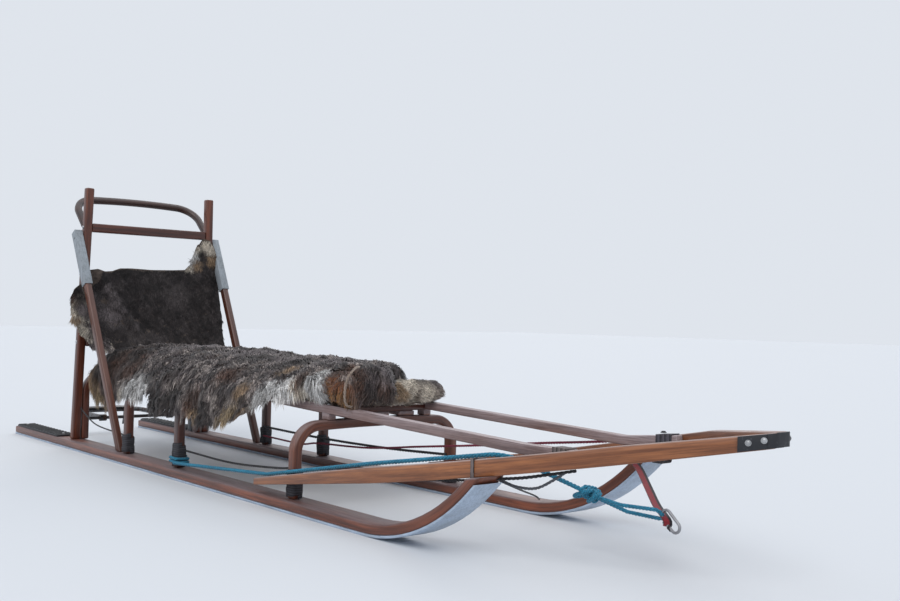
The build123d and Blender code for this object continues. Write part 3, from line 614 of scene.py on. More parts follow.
def follow(web, x, column):
    """Height of a soft curve through one column of the arm's middle line, at x."""
    first, last = ARM_LINE[0][0], ARM_LINE[-1][0]
    node = web.add("ShaderNodeFloatCurve")
    curve = node.mapping.curves[0]
    places = [((p[0] - first) / (last - first), p[column] + CURVE_LIFT) for p in ARM_LINE]
    curve.points[0].location, curve.points[1].location = places[0], places[-1]
    for place in places[1:-1]:
        curve.points.new(*place)
    node.mapping.update()
    web.link(web.fade(x, first, last), node.inputs["Value"])
    return web.math("SUBTRACT", node.outputs["Value"], CURVE_LIFT)


def along_arm(web):
    """Place along the arm, across it and up it, by its middle line."""
    x, y, z = web.split(web.place())
    across = web.math("SUBTRACT", web.math("ABSOLUTE", y), follow(web, x, 1))
    return web.join(x, across, web.math("SUBTRACT", z, follow(web, x, 2)))


# on the arms' tops the grey is weathering made paler by a painted highlight from the sky
ASH_ARM = wood("ash_bow_arm", dark=(0.150, 0.045, 0.016), light=(0.44, 0.165, 0.058), wear_and_sky_light=0.95,
               grey=(0.46, 0.37, 0.35), shift=6.2, ply=0.0085, glue=0.35, bend=along_arm)
for side in ("left", "right"):
    eased("bow_arm_" + side, ARM_EDGE, ASH_ARM, segments=3)
RUBBER_NOSE = rubber("nose_rubber", (0.011, 0.012, 0.017), scuff=(0.12, 0.12, 0.13), scale=120.0)
eased("nose_pad", PAD_EDGE, RUBBER_NOSE, segments=3)
NOSE_BOLTS = [dict(x=1.557, y=0.0525, z=0.2775), dict(x=1.5805, y=0.0395, z=0.2835)]
for k, bolt in enumerate(NOSE_BOLTS):
    for side, sign in SIDES:
        dome_screw(f"nose_bolt_{side}_{k}", (bolt["x"], sign * bolt["y"], bolt["z"]),
                   (0.5, sign * 0.866, 0), radius=0.0042)
TAPE_ALONG = wound_tape("tape_on_left_arm", (0.045, 0.040, 0.048), pitch=0.012, axis=0)
TAPE_WORN = wound_tape("tape_on_right_arm", (0.100, 0.082, 0.080), pitch=0.012, axis=0)
eased("arm_tape_left", TAPE_EDGE, TAPE_ALONG)
eased("arm_tape_right", TAPE_EDGE, TAPE_WORN)
# A black bolt stands in the left arm's tape, over the end of the rail.
BOLT_PLACE, BOLT_SUNK = (1.206, 0.158), 0.0005
tape_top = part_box("arm_tape_left")[1][2]
dome_screw("rail_end_bolt", (*BOLT_PLACE, tape_top - BOLT_SUNK), (0, 0, 1), SCREW, RUBBER)


# Brake: a bent steel tube between the runners, hinged on two ears, with two claws and a tread
# plate welded on. Dull, with rust where snow wets it. The washers between the uprights and the
# braces are bright.
STEEL_EDGE, WASHER_EDGE = 0.001, 0.0005
STEEL = dull_steel("brake_steel", (0.10, 0.10, 0.105), amount=0.5, rust=(0.060, 0.026, 0.014))
for name in ("brake_bar", "brake_claws", "brake_tread"):
    eased(name, STEEL_EDGE, STEEL, body="brake")
for name in ("brake_ear_left", "brake_ear_right"):
    eased(name, STEEL_EDGE, STEEL)
eased("brace_washers", WASHER_EDGE, BRIGHT_STEEL)


# Seat fur: one winter hide laid hair side up over the bed, its right side hanging down. The
# hair is long and matted, grey-brown, with white, cream, ochre and dark patches.
SEAT_STATIONS = [  # right hem, turn over the right rail, crown, left turn and left hem, along the sled
    # x, hem_y, hem_z, turn_y, turn_z, crown, left_y, left_z, edge_y, edge_z
    (-1.042, -0.204, 0.200, -0.190, 0.300, 0.350, 0.165, 0.335, 0.186, 0.300),
    (-1.000, -0.204, 0.182, -0.190, 0.306, 0.360, 0.165, 0.342, 0.188, 0.298),
    (-0.930, -0.204, 0.172, -0.190, 0.305, 0.362, 0.165, 0.345, 0.190, 0.298),
    (-0.860, -0.206, 0.174, -0.190, 0.303, 0.362, 0.165, 0.345, 0.190, 0.298),
    (-0.800, -0.208, 0.192, -0.190, 0.300, 0.364, 0.165, 0.348, 0.190, 0.296),
    (-0.740, -0.212, 0.204, -0.190, 0.298, 0.366, 0.165, 0.350, 0.190, 0.296),
    (-0.660, -0.232, 0.214, -0.192, 0.298, 0.366, 0.165, 0.350, 0.190, 0.295),
    (-0.608, -0.257, 0.218, -0.198, 0.302, 0.368, 0.165, 0.350, 0.192, 0.294),
    (-0.540, -0.252, 0.232, -0.204, 0.304, 0.370, 0.165, 0.350, 0.192, 0.293),
    (-0.460, -0.256, 0.248, -0.210, 0.306, 0.370, 0.165, 0.350, 0.193, 0.292),
    (-0.400, -0.270, 0.222, -0.224, 0.306, 0.370, 0.165, 0.350, 0.194, 0.290),
    (-0.340, -0.284, 0.184, -0.236, 0.304, 0.368, 0.165, 0.348, 0.194, 0.288),
    (-0.290, -0.288, 0.190, -0.240, 0.302, 0.366, 0.165, 0.348, 0.194, 0.288),
    (-0.230, -0.288, 0.214, -0.240, 0.300, 0.364, 0.165, 0.346, 0.194, 0.286),
    (-0.157, -0.288, 0.200, -0.240, 0.298, 0.360, 0.165, 0.344, 0.194, 0.284),
    (-0.060, -0.288, 0.194, -0.240, 0.298, 0.358, 0.165, 0.342, 0.192, 0.282),
    (0.000, -0.288, 0.182, -0.240, 0.297, 0.358, 0.165, 0.341, 0.191, 0.281),
    (0.090, -0.288, 0.202, -0.238, 0.296, 0.359, 0.165, 0.340, 0.190, 0.280),
    (0.140, -0.286, 0.212, -0.232, 0.298, 0.360, 0.165, 0.340, 0.190, 0.279),
    (0.200, -0.278, 0.236, -0.222, 0.302, 0.361, 0.163, 0.340, 0.188, 0.278),
    (0.245, -0.250, 0.264, -0.208, 0.310, 0.362, 0.161, 0.339, 0.186, 0.277),
    (0.275, -0.214, 0.278, -0.194, 0.318, 0.362, 0.159, 0.338, 0.184, 0.276),
    (0.305, -0.186, 0.287, -0.184, 0.324, 0.362, 0.155, 0.336, 0.178, 0.275),
    (0.380, -0.177, 0.288, -0.178, 0.332, 0.362, 0.152, 0.332, 0.175, 0.274),
    (0.440, -0.176, 0.287, -0.176, 0.334, 0.360, 0.148, 0.326, 0.173, 0.272),
    (0.474, -0.174, 0.284, -0.172, 0.326, 0.350, 0.140, 0.314, 0.168, 0.270),
    (0.492, -0.170, 0.278, -0.166, 0.306, 0.324, 0.135, 0.292, 0.164, 0.268),
    (0.500, -0.164, 0.266, -0.158, 0.276, 0.288, 0.132, 0.272, 0.160, 0.262),
]
SEAT_AROUND = 36          # points across the hide
SEAT_ALONG = 124          # points along it
SKIN = 0.003              # thickness of the hide without its hair
FRONT_SLANT = 0.155       # the front edge lies this much further back on the left
HEM_WAVE = 0.007          # rise and fall of the right hem, back from HEM_WAVE_TO
HEM_WAVE_TO = 0.15

HAIR = {
    "grey": (0.055, 0.043, 0.044), "dark": (0.022, 0.016, 0.0145), "pale": (0.360, 0.310, 0.285),
    "cream": (0.54, 0.48, 0.40), "white": (0.60, 0.595, 0.59), "ochre": (0.38, 0.195, 0.070),
    "rust": (0.25, 0.085, 0.028), "brown": (0.070, 0.036, 0.025), "tan": (0.25, 0.170, 0.105),
    "ash": (0.140, 0.119, 0.122), "choc": (0.024, 0.0185, 0.0185), "soot": (0.010, 0.008, 0.008),
    "smoke": (0.062, 0.052, 0.052), "sand": (0.28, 0.232, 0.198), "straw": (0.36, 0.265, 0.155),
}
SEAT_PATCHES = [  # where a patch lies on the hide, how far it reaches, and the shade of its hair
    (-0.700, -0.220, 0.230, 0.050, "white"), (-0.630, -0.235, 0.240, 0.050, "white"),
    (-0.600, -0.245, 0.255, 0.036, "white"), (-0.550, -0.248, 0.256, 0.042, "white"),
    (-0.490, -0.252, 0.256, 0.040, "white"), (-0.745, -0.210, 0.215, 0.030, "cream"),
    (-1.020, -0.200, 0.235, 0.055, "tan"), (-0.970, -0.203, 0.195, 0.055, "straw"),
    (-0.900, -0.205, 0.180, 0.045, "tan"), (-1.030, -0.195, 0.290, 0.045, "tan"),
    (-0.900, -0.190, 0.290, 0.100, "brown"), (-0.960, -0.160, 0.330, 0.070, "choc"),
    (-0.790, -0.120, 0.350, 0.080, "dark"), (-0.720, -0.180, 0.310, 0.055, "brown"),
    (-0.470, -0.214, 0.308, 0.036, "dark"), (-0.380, -0.262, 0.230, 0.060, "choc"),
    (-0.310, -0.286, 0.200, 0.055, "choc"), (-0.420, -0.180, 0.330, 0.060, "grey"),
    (-0.250, -0.280, 0.250, 0.045, "dark"), (-0.200, -0.286, 0.210, 0.035, "smoke"),
    (-0.120, -0.280, 0.250, 0.045, "brown"), (-0.050, -0.285, 0.215, 0.045, "dark"),
    (0.010, -0.287, 0.195, 0.036, "choc"), (-0.090, -0.286, 0.200, 0.030, "tan"),
    (0.095, -0.287, 0.220, 0.038, "straw"), (0.120, -0.284, 0.250, 0.028, "straw"),
    (0.125, -0.250, 0.295, 0.028, "tan"), (0.175, -0.284, 0.228, 0.026, "tan"),
    (0.205, -0.278, 0.248, 0.026, "sand"), (0.150, -0.270, 0.270, 0.024, "dark"),
    (0.225, -0.260, 0.268, 0.034, "white"), (0.250, -0.235, 0.285, 0.036, "white"),
    (0.225, -0.235, 0.297, 0.030, "white"), (0.278, -0.200, 0.298, 0.032, "white"),
    (0.310, -0.184, 0.308, 0.032, "cream"), (0.300, -0.180, 0.330, 0.024, "brown"),
    (0.340, -0.180, 0.296, 0.024, "cream"), (0.360, -0.178, 0.320, 0.030, "white"),
    (0.378, -0.172, 0.340, 0.026, "white"), (0.402, -0.178, 0.300, 0.022, "white"),
    (0.445, -0.178, 0.320, 0.026, "rust"), (0.440, -0.178, 0.295, 0.024, "ochre"),
    (0.480, -0.172, 0.310, 0.022, "rust"), (0.484, -0.172, 0.290, 0.022, "ochre"),
    (0.490, -0.130, 0.320, 0.045, "brown"), (0.485, -0.080, 0.335, 0.040, "grey"),
    (0.497, -0.060, 0.290, 0.034, "choc"), (0.490, -0.040, 0.315, 0.030, "brown"),
    # the ash patches over the crown of the hide are a painted highlight, where light falls on its top
    (0.440, -0.140, 0.352, 0.035, "brown"), (0.470, -0.020, 0.340, 0.040, "ash"),
    (0.300, -0.060, 0.360, 0.060, "ash"), (0.250, 0.020, 0.362, 0.080, "ash"),
    (0.050, 0.000, 0.358, 0.090, "ash"), (-0.250, 0.020, 0.366, 0.110, "ash"),
    (0.150, -0.110, 0.350, 0.050, "dark"), (-0.120, -0.080, 0.358, 0.060, "dark"),
    (-0.600, -0.020, 0.368, 0.100, "ash"), (0.200, -0.160, 0.340, 0.030, "tan"),
    (-0.020, -0.200, 0.320, 0.050, "brown"),
]


def smooth_line(points, count):
    """Evenly placed points on a soft curve through a few, by cardinal splines."""
    points = np.array(points, float)
    padded = np.vstack([2 * points[0] - points[1], points, 2 * points[-1] - points[-2]])
    dense = []
    for i in range(1, len(padded) - 2):
        a, b, c, d = padded[i - 1:i + 3]
        for t in np.linspace(0, 1, 12, endpoint=False):
            dense.append(0.5 * (2 * b + (c - a) * t + (2 * a - 5 * b + 4 * c - d) * t * t
                                + (3 * b - a - 3 * c + d) * t ** 3))
    dense = np.array(dense + [padded[-2]])
    gone = np.concatenate([[0], np.cumsum(np.linalg.norm(np.diff(dense, axis=0), axis=1))])
    at = np.linspace(0, gone[-1], count)
    return np.column_stack([np.interp(at, gone, dense[:, k]) for k in range(dense.shape[1])])


def ripples(points, size, seed):
    """Soft seeded noise at points, about -1 to 1, made of plane waves of about one size."""
    rng = np.random.default_rng(seed)
    total = np.zeros(len(points))
    for _ in range(9):
        direction = rng.normal(size=3)
        direction /= np.linalg.norm(direction)
        waves = points @ direction * (2 * math.pi / size) * rng.uniform(0.6, 1.7)
        total += np.sin(waves + rng.uniform(0, 6.28))
    return total / 4.5


def sheet_mesh(name, grid, thick, material):
    """Thin closed sheet from a grid of points, its wall below the side that is seen."""
    rows, cols = grid.shape[:2]
    mesh = bpy.data.meshes.new(name)
    faces = [(r * cols + c, (r + 1) * cols + c, (r + 1) * cols + c + 1, r * cols + c + 1)
             for r in range(rows - 1) for c in range(cols - 1)]
    mesh.from_pydata(grid.reshape(-1, 3).tolist(), [], faces)
    piece = bpy.data.objects.new(name, mesh)
    scene.collection.objects.link(piece)
    wall = piece.modifiers.new("wall", "SOLIDIFY")
    wall.thickness = thick
    wall.offset = -1
    finish(piece, "wall")
    bpy.ops.object.shade_smooth_by_angle(angle=math.radians(60))
    return give(piece, material)


def grid_normals(grid):
    """Unit normals of a grid of points, and its steps along and across."""
    along, across = np.gradient(grid, axis=0), np.gradient(grid, axis=1)
    normal = np.cross(along, across)
    return normal / (np.linalg.norm(normal, axis=2, keepdims=True) + 1e-9), along, across


def facing(grid, way):
    """The grid, turned over if its normals look away from a direction."""
    return grid if (grid_normals(grid)[0] @ np.array(way)).mean() > 0 else grid[:, ::-1]


def hair_colour(points, patches, seed, coat):
    """Colour of the hair at points: a mottled coat (usual, dark, pale), then ragged patches."""
    base, dark, pale = (np.array(HAIR[k]) for k in coat)
    mottle = sum(ripples(points, size, seed + k) * share
                 for size, k, share in ((0.10, 0, 0.55), (0.032, 1, 0.75), (0.012, 3, 0.85)))
    lift, drop = np.clip(mottle, 0, 1)[:, None], np.clip(-mottle, 0, 1)[:, None]
    colour = base * (1 - lift - drop) + pale * lift * 0.9 + dark * drop
    colour = np.clip(colour, 0.006, 1)
    ragged = ripples(points, 0.040, seed + 2) * 0.28 + ripples(points, 0.014, seed + 4) * 0.18
    for x, y, z, reach, shade in patches:
        far = np.linalg.norm(points - np.array([x, y, z]), axis=1) / reach
        share = np.clip(1.45 - far + ragged, 0, 1)[:, None]
        share = share * share * (3 - 2 * share)
        colour = colour * (1 - share) + np.array(HAIR[shade]) * share
    return colour


def fur_material():
    """Hair whose colour is painted on the tufts, dark at the roots and pale at the tips."""
    material, web, shader = new_material("winter_hair", (0.12, 0.09, 0.075), 0.70, Sheen_Weight=0.15,
                                         Sheen_Roughness=0.4, Specular_IOR_Level=0.3)
    painted = web.add("ShaderNodeVertexColor")
    painted.layer_name = "hair"
    streak = web.fade(web.noise(web.place(), 260.0, 2.0), 0.35, 0.65)
    tone = web.darken(1.0, painted.outputs["Color"], streak, (0.62, 0.60, 0.58), (1.1, 1.1, 1.1))
    web.link(tone, shader.inputs["Base Color"])
    return material


def hide_skin():
    """The skin side and the felted roots of the hair, dark brown."""
    material, web, shader = new_material("hide_skin", (0.10, 0.075, 0.06), 0.85)
    place = web.place()
    felted = web.fade(web.noise(place, 70.0, 5.0), 0.3, 0.7)
    web.link(web.blend(felted, (0.030, 0.021, 0.017), (0.11, 0.082, 0.066)), shader.inputs["Base Color"])
    web.link(web.bump(web.noise(place, 300.0, 3.0), 0.001, 0.6), shader.inputs["Normal"])
    return material


FUR, LEATHER = fur_material(), hide_skin()
# a tuft: its spread of lengths and widths, where it bends and how far it stands up there
LENGTHS, WIDTHS, LONGEST = (0.5, 1.2), (0.6, 1.3), 1.5
BEND_AT, BEND_STAND, BEND_WIDTH, TIP_STAND = 0.50, 0.62, 0.8, 0.55
ROOT_DEPTH = 0.0010
BLADE_POINTS = 5
# the coat: longer where it hangs than on top, uneven in length and stand, tufts that stray, locks
ON_TOP, MORE_HANGING, UNEVEN_LENGTH = 0.72, 0.45, 0.35
UNEVEN_STAND, ROUGH_STAND, STANDS = 0.24, 0.08, (0.03, 1.1)
STRAY, TUFTS_IN_LOCK, LOCK_BEND = 0.24, 170, 0.4
# shares of the painted colour at the root, the bend and the tip, and from tuft to tuft and lock to lock
ROOT_SHADE, BEND_SHADE, TIP_SHADE, FROST_SHADE = 0.34, 0.95, 1.35, 1.3
TUFT_SHADES, LOCK_SHADES = (0.45, 1.5), (-1.2, 1.5)


def comb(name, grid, count, length, width, lie, flow, patches, seed, rows=(0, 1), cols=(0, 1),
         coat=("grey", "dark", "pale"), spread=0.5, droop=0.18, frost=0.6, matted=0.0):
    """Tufts of hair on part of a grid: each is a narrow two-part blade that lies over along flow.

    flow gives the way the hair lies at the roots; lie says how flat, from 0 upright to 1; hair
    that hangs is longer than hair on top, frost is how pale the palest tips are, and matted is
    how far the tips of a lock draw together.
    """
    rng = np.random.default_rng(seed)
    normal, along, across = grid_normals(grid)
    cells = np.linalg.norm(np.cross(along, across), axis=2)[:-1, :-1].copy()
    r_count, c_count = cells.shape
    cells[:int(rows[0] * r_count)] = 0
    cells[int(round(rows[1] * r_count)):] = 0
    cells[:, :int(cols[0] * c_count)] = 0
    cells[:, int(round(cols[1] * c_count)):] = 0
    r, c = np.divmod(rng.choice(cells.size, size=count, p=(cells / cells.sum()).ravel()), c_count)
    u, v = rng.random(count)[:, None], rng.random(count)[:, None]

    def at(field):
        """Values of a field on the grid at the roots."""
        near = field[r, c] * (1 - u) + field[r + 1, c] * u
        return near * (1 - v) + (field[r, c + 1] * (1 - u) + field[r + 1, c + 1] * u) * v

    root, up = at(grid), at(normal)
    up /= np.linalg.norm(up, axis=1, keepdims=True)
    way = flow(root)
    for size, first in ((0.11, 11), (0.026, 21)):
        way = way + np.column_stack([ripples(root, size, seed // 10 + first + k) for k in range(3)]) * spread
    way = way + rng.normal(size=(count, 3)) * STRAY
    way -= up * np.sum(way * up, axis=1, keepdims=True)
    way /= np.linalg.norm(way, axis=1, keepdims=True) + 1e-9
    growth = 1 + UNEVEN_LENGTH * ripples(root, 0.045, seed // 10 + 31)
    long = length * rng.uniform(*LENGTHS, count) * growth
    long = long * (ON_TOP + MORE_HANGING * (1 - np.clip(up[:, 2], 0, 1)))
    long = np.minimum(long, length * LONGEST)
    stand = 1 - lie + UNEVEN_STAND * ripples(root, 0.035, seed // 10 + 41)
    stand = np.clip(stand + rng.normal(size=count) * ROUGH_STAND, *STANDS)
    side = np.cross(way, up) * rng.uniform(*WIDTHS, count)[:, None] * width / 2
    middle = root + way * (long * BEND_AT)[:, None] + up * (long * stand * BEND_STAND)[:, None]
    tip = root + way * long[:, None] + up * (long * stand * TIP_STAND)[:, None]
    # each tuft leans to the nearest head of a lock
    heads = rng.choice(count, size=count // TUFTS_IN_LOCK, replace=False)
    tree = KDTree(len(heads))
    for k, head in enumerate(heads):
        tree.insert(root[head], k)
    tree.balance()
    lock = np.array([tree.find(point)[1] for point in root])
    tip += (tip[heads[lock]] - tip) * matted
    middle += (middle[heads[lock]] - middle) * matted * LOCK_BEND
    tip[:, 2] -= long * droop
    root = root - up * ROOT_DEPTH
    bend = side * BEND_WIDTH
    points = np.stack([root - side, root + side, middle - bend, middle + bend, tip], axis=1)
    corner = np.arange(count)[:, None] * BLADE_POINTS
    mesh = bpy.data.meshes.new(name)
    mesh.vertices.add(count * BLADE_POINTS)
    mesh.vertices.foreach_set("co", points.reshape(-1))
    loops = np.concatenate([(corner + np.array([part])).ravel() for part in ([0, 1, 3, 2], [2, 3, 4])])
    starts = np.concatenate([np.arange(count) * 4, count * 4 + np.arange(count) * 3])
    mesh.loops.add(len(loops))
    mesh.loops.foreach_set("vertex_index", loops)
    mesh.polygons.add(count * 2)
    mesh.polygons.foreach_set("loop_start", starts)
    mesh.update(calc_edges=True)
    colour = hair_colour(root, patches, seed // 100, coat) * rng.uniform(*TUFT_SHADES, (count, 1))
    colour *= 1 + matted * (rng.uniform(*LOCK_SHADES, len(heads))[lock][:, None])
    tips = rng.random((count, 1)) ** 3 * frost
    ends = colour * TIP_SHADE * (1 - tips) + np.array(HAIR[coat[2]]) * FROST_SHADE * tips
    roots, bends = colour * ROOT_SHADE, colour * BEND_SHADE
    shade = np.stack([roots, roots, bends, bends, ends], axis=1)
    shade = np.concatenate([np.clip(shade, 0, 1), np.ones((count, BLADE_POINTS, 1))], axis=2)
    paint = mesh.color_attributes.new("hair", "FLOAT_COLOR", "POINT")
    paint.data.foreach_set("color", shade.reshape(-1))
    piece = bpy.data.objects.new(name, mesh)
    scene.collection.objects.link(piece)
    return give(piece, FUR)


def seat_grid():
    """Points on the hide as it lies: soft lines across it, on the stations along the sled."""
    table = np.array(SEAT_STATIONS)
    rows = []
    for x in np.linspace(table[0, 0], table[-1, 0], SEAT_ALONG):
        hem_y, hem_z, turn_y, turn_z, crown, left_y, left_z, edge_y, edge_z = (
            np.interp(x, table[:, 0], table[:, k]) for k in range(1, 10))
        hem_z += HEM_WAVE * math.sin(x * 61) * math.sin(x * 23 + 1) * (x < HEM_WAVE_TO)
        line = [(x, hem_y, hem_z), (x, (hem_y + turn_y) / 2 - 0.006, (hem_z + turn_z) / 2),
                (x, turn_y, turn_z), (x, -0.12, crown - 0.010), (x, 0.0, crown),
                (x, 0.11, crown - 0.006), (x, left_y, left_z), (x, edge_y, edge_z)]
        rows.append(smooth_line(line, SEAT_AROUND))
    grid = facing(np.array(rows), (0, 0, 1))
    # the front edge slants back to the left
    back = np.clip((grid[..., 1] + 0.035) / 0.11, 0, 1) * np.clip((grid[..., 0] - 0.1) / 0.36, 0, 1)
    grid[..., 0] -= FRONT_SLANT * back
    # soft swells all over
    flat = grid.reshape(-1, 3)
    wave = ripples(flat, 0.16, 5) * 0.007 + ripples(flat, 0.06, 6) * 0.004
    return (flat + grid_normals(grid)[0].reshape(-1, 3) * wave[:, None]).reshape(grid.shape)


def seat_flow(root):
    """Hair lies towards the front right on the back of the hide and down on its sides."""
    side = np.clip((np.abs(root[:, 1]) - 0.10) / 0.10, 0, 1)
    front = np.clip((root[:, 0] - 0.46) / 0.04, 0, 1)
    way = np.zeros_like(root)
    way[:, 0] = 0.75 * (1 - side) + 0.1
    way[:, 1] = np.where(root[:, 1] < 0, -0.35 - 0.3 * side, -0.3 + 0.9 * side)
    way[:, 2] = -side * np.clip((0.35 - root[:, 2]) * 12, 0, 1.5) - front
    return way


seat = seat_grid()
seat_skin = sheet_mesh("seat_fur_skin", seat, SKIN, LEATHER)
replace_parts(seat_skin, "seat_fur")
SEAT_PARTS = (("rear", (0, 0.34)), ("middle", (0.34, 0.67)), ("front", (0.67, 1)))
seat_hair = [comb("seat_fur_hair_" + label, seat, count=56000, length=0.030, width=0.0029, lie=0.72,
                  flow=seat_flow, patches=SEAT_PATCHES, seed=700 + k, rows=rows, matted=0.32)
             for k, (label, rows) in enumerate(SEAT_PARTS)]


# Back fur: the upper end of the hide, short dark hair, hung over the middle crossbar in front of
# the uprights. One corner stands up cream, the other spills out behind the right brace.
BACK_TOP = [  # top edge: across the sled, height
    (-0.236, 0.628), (-0.205, 0.634), (-0.178, 0.626), (-0.150, 0.629), (-0.120, 0.640), (-0.078, 0.642),
    (0.000, 0.640), (0.080, 0.643), (0.129, 0.646), (0.150, 0.668), (0.164, 0.712), (0.176, 0.742),
    (0.192, 0.748), (0.206, 0.768), (0.224, 0.762), (0.242, 0.738), (0.254, 0.700),
]
BACK_EDGES = [  # down the back: height, right edge, left edge
    (0.340, -0.236, 0.285), (0.385, -0.240, 0.283), (0.420, -0.278, 0.281), (0.460, -0.298, 0.279),
    (0.520, -0.302, 0.275), (0.560, -0.292, 0.270), (0.590, -0.250, 0.266), (0.620, -0.236, 0.262),
    (0.700, -0.236, 0.254), (0.800, -0.236, 0.250),
]
BACK_X, BACK_LOW = -1.024, 0.352     # where it hangs along the sled, and its lower edge
BACK_ROWS, BACK_COLS = 44, 52
CREASE = dict(y=-0.040, z=0.394, slope=0.732, wide=0.018, deep=0.010)
BELLY = 0.004
PEAK_LOW, PEAK_TALL = 0.66, 0.08     # the standing corner
PEAK_CURL, PEAK_DENT = 0.016, 0.022
DENT_Y, DENT_WIDE = 0.202, 0.012
FOOT_FORWARD = 0.045                 # the lower end lies forwards on the seat
SPILL_FORWARD, SPILL_FROM = 0.020, -0.235
BACK_PATCHES = [
    (-1.020, 0.176, 0.722, 0.030, "cream"), (-1.020, 0.160, 0.690, 0.032, "white"),
    (-1.020, 0.206, 0.745, 0.026, "cream"), (-1.020, 0.232, 0.735, 0.026, "cream"),
    (-1.020, 0.200, 0.715, 0.018, "choc"), (-1.020, 0.212, 0.690, 0.020, "choc"),
    (-1.020, 0.180, 0.672, 0.020, "tan"), (-1.020, 0.150, 0.660, 0.018, "cream"),
    # the ash and smoke patches along the crease are a painted highlight on the fold, and those to the left of
    # it a painted sheen
    (-1.020, 0.240, 0.690, 0.022, "tan"), (-1.020, -0.171, 0.573, 0.014, "ash"),
    (-1.020, -0.156, 0.550, 0.015, "ash"), (-1.020, -0.140, 0.526, 0.016, "ash"),
    (-1.015, -0.113, 0.496, 0.016, "ash"), (-1.015, -0.088, 0.467, 0.016, "smoke"),
    (-1.010, -0.064, 0.432, 0.018, "ash"), (-1.000, -0.042, 0.397, 0.020, "smoke"),
    (-1.010, -0.100, 0.440, 0.036, "smoke"), (-1.000, -0.080, 0.400, 0.040, "smoke"),
    (-1.020, -0.190, 0.520, 0.040, "smoke"), (-1.015, -0.160, 0.470, 0.044, "ash"),
    (-1.010, -0.190, 0.420, 0.040, "choc"), (-1.000, -0.130, 0.395, 0.034, "choc"),
    (-1.000, 0.020, 0.380, 0.040, "smoke"), (-1.020, 0.100, 0.560, 0.050, "smoke"),
    (-1.000, -0.285, 0.560, 0.026, "choc"), (-1.000, -0.290, 0.520, 0.026, "brown"),
    (-1.000, -0.288, 0.485, 0.034, "cream"), (-1.000, -0.290, 0.445, 0.024, "tan"),
    (-1.000, -0.270, 0.420, 0.030, "cream"), (-1.000, -0.260, 0.500, 0.026, "ash"),
    (-1.000, -0.265, 0.550, 0.024, "choc"),
]


def back_grid():
    """Points on the hanging end of the hide, in rows from its top edge down."""
    top, edges = np.array(BACK_TOP), np.array(BACK_EDGES)
    rows = []
    for t in np.linspace(0, 1, BACK_ROWS):
        s = np.linspace(0, 1, BACK_COLS)
        y = top[0, 0] + (top[-1, 0] - top[0, 0]) * s
        z = np.interp(y, top[:, 0], top[:, 1]) * (1 - t) + BACK_LOW * t
        right, left = np.interp(z, edges[:, 0], edges[:, 1]), np.interp(z, edges[:, 0], edges[:, 2])
        y = right + (left - right) * s
        # folds: one slanting crease, a shallow belly, and the peak curled forwards
        crease = (y - CREASE["y"]) + (z - CREASE["z"]) * CREASE["slope"]
        x = BACK_X + CREASE["deep"] * np.exp(-(crease / CREASE["wide"]) ** 2) - BELLY * np.cos(y * 11)
        peak = np.clip((z - PEAK_LOW) / PEAK_TALL, 0, 1)
        curl = PEAK_CURL * np.clip((y - 0.14) / 0.06, 0, 1)
        x += peak * (curl - PEAK_DENT * np.exp(-((y - DENT_Y) / DENT_WIDE) ** 2))
        x += FOOT_FORWARD * t ** 4 + SPILL_FORWARD * np.clip((SPILL_FROM - y) / 0.05, 0, 1)
        rows.append(np.column_stack([x, y, z]))
    grid = facing(np.array(rows), (1, 0, 0))
    flat = grid.reshape(-1, 3)
    wave = ripples(flat, 0.14, 15) * 0.004 + ripples(flat, 0.05, 16) * 0.0015
    return (flat + np.array([1.0, 0, 0]) * wave[:, None]).reshape(grid.shape)


def back_flow(root):
    """Hair lies down the hide, and outwards behind the right brace."""
    way = np.zeros_like(root)
    way[:, 2] = -1.0
    way[:, 1] = np.where(root[:, 1] < -0.23, -0.5, -0.1)
    return way


back = back_grid()
back_skin = sheet_mesh("back_fur_skin", back, SKIN, LEATHER)
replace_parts(back_skin, "back_fur")
right_first = back[0, 0, 1] < back[0, -1, 1]
spill = (0, 0.13) if right_first else (0.87, 1)
plain = (0.10, 1) if right_first else (0, 0.90)
back_hair = [comb("back_fur_hair", back, count=54000, length=0.015, width=0.0026, lie=0.90,
                  flow=back_flow, patches=BACK_PATCHES, seed=900, cols=plain,
                  coat=("choc", "soot", "smoke"), spread=0.30, droop=0.05, frost=0.5),
             comb("back_fur_spill", back, count=13000, length=0.0225, width=0.0030, lie=0.50,
                  flow=back_flow, patches=BACK_PATCHES, seed=901, rows=(0.25, 1), cols=spill,
                  coat=("ash", "choc", "cream"), spread=0.6, matted=0.30)]


# Rolled neck of the hide across the front of the bed: cream hair over a soft roll, with painted
# shade in dark hair where its left end is open.
low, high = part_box("fur_roll")
ROLL_X, ROLL_Z = (low[0] + high[0]) / 2, (low[2] + high[2]) / 2
ROLL_AROUND, ROLL_ALONG = 28, 40     # points
HAIR_TO = 33                         # the row where the open end turns inwards, and the hair ends
ROLL_MIDDLE = 20                     # a row in the middle of the roll
ROLL_SECTIONS = [  # y, shift in x, radius along x, radius in z
    (-0.112, 0.000, 0.016, 0.014), (-0.085, 0.000, 0.026, 0.023), (-0.020, -0.002, 0.029, 0.028),
    (0.060, 0.001, 0.028, 0.028), (0.120, 0.002, 0.027, 0.026), (0.152, 0.003, 0.024, 0.022),
    (0.166, 0.003, 0.019, 0.017), (0.160, 0.003, 0.012, 0.010), (0.140, 0.003, 0.008, 0.006),
]
turn = np.linspace(0, 2 * math.pi, ROLL_AROUND, endpoint=False)
roll = np.array([np.column_stack([ROLL_X + dx + rx * np.cos(turn), np.full(ROLL_AROUND, y),
                                  ROLL_Z + rz * np.sin(turn)])
                 for y, dx, rx, rz in smooth_line(ROLL_SECTIONS, ROLL_ALONG)])
roll_core = closed_tube("fur_roll_core", roll, LEATHER)
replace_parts(roll_core, "fur_roll")
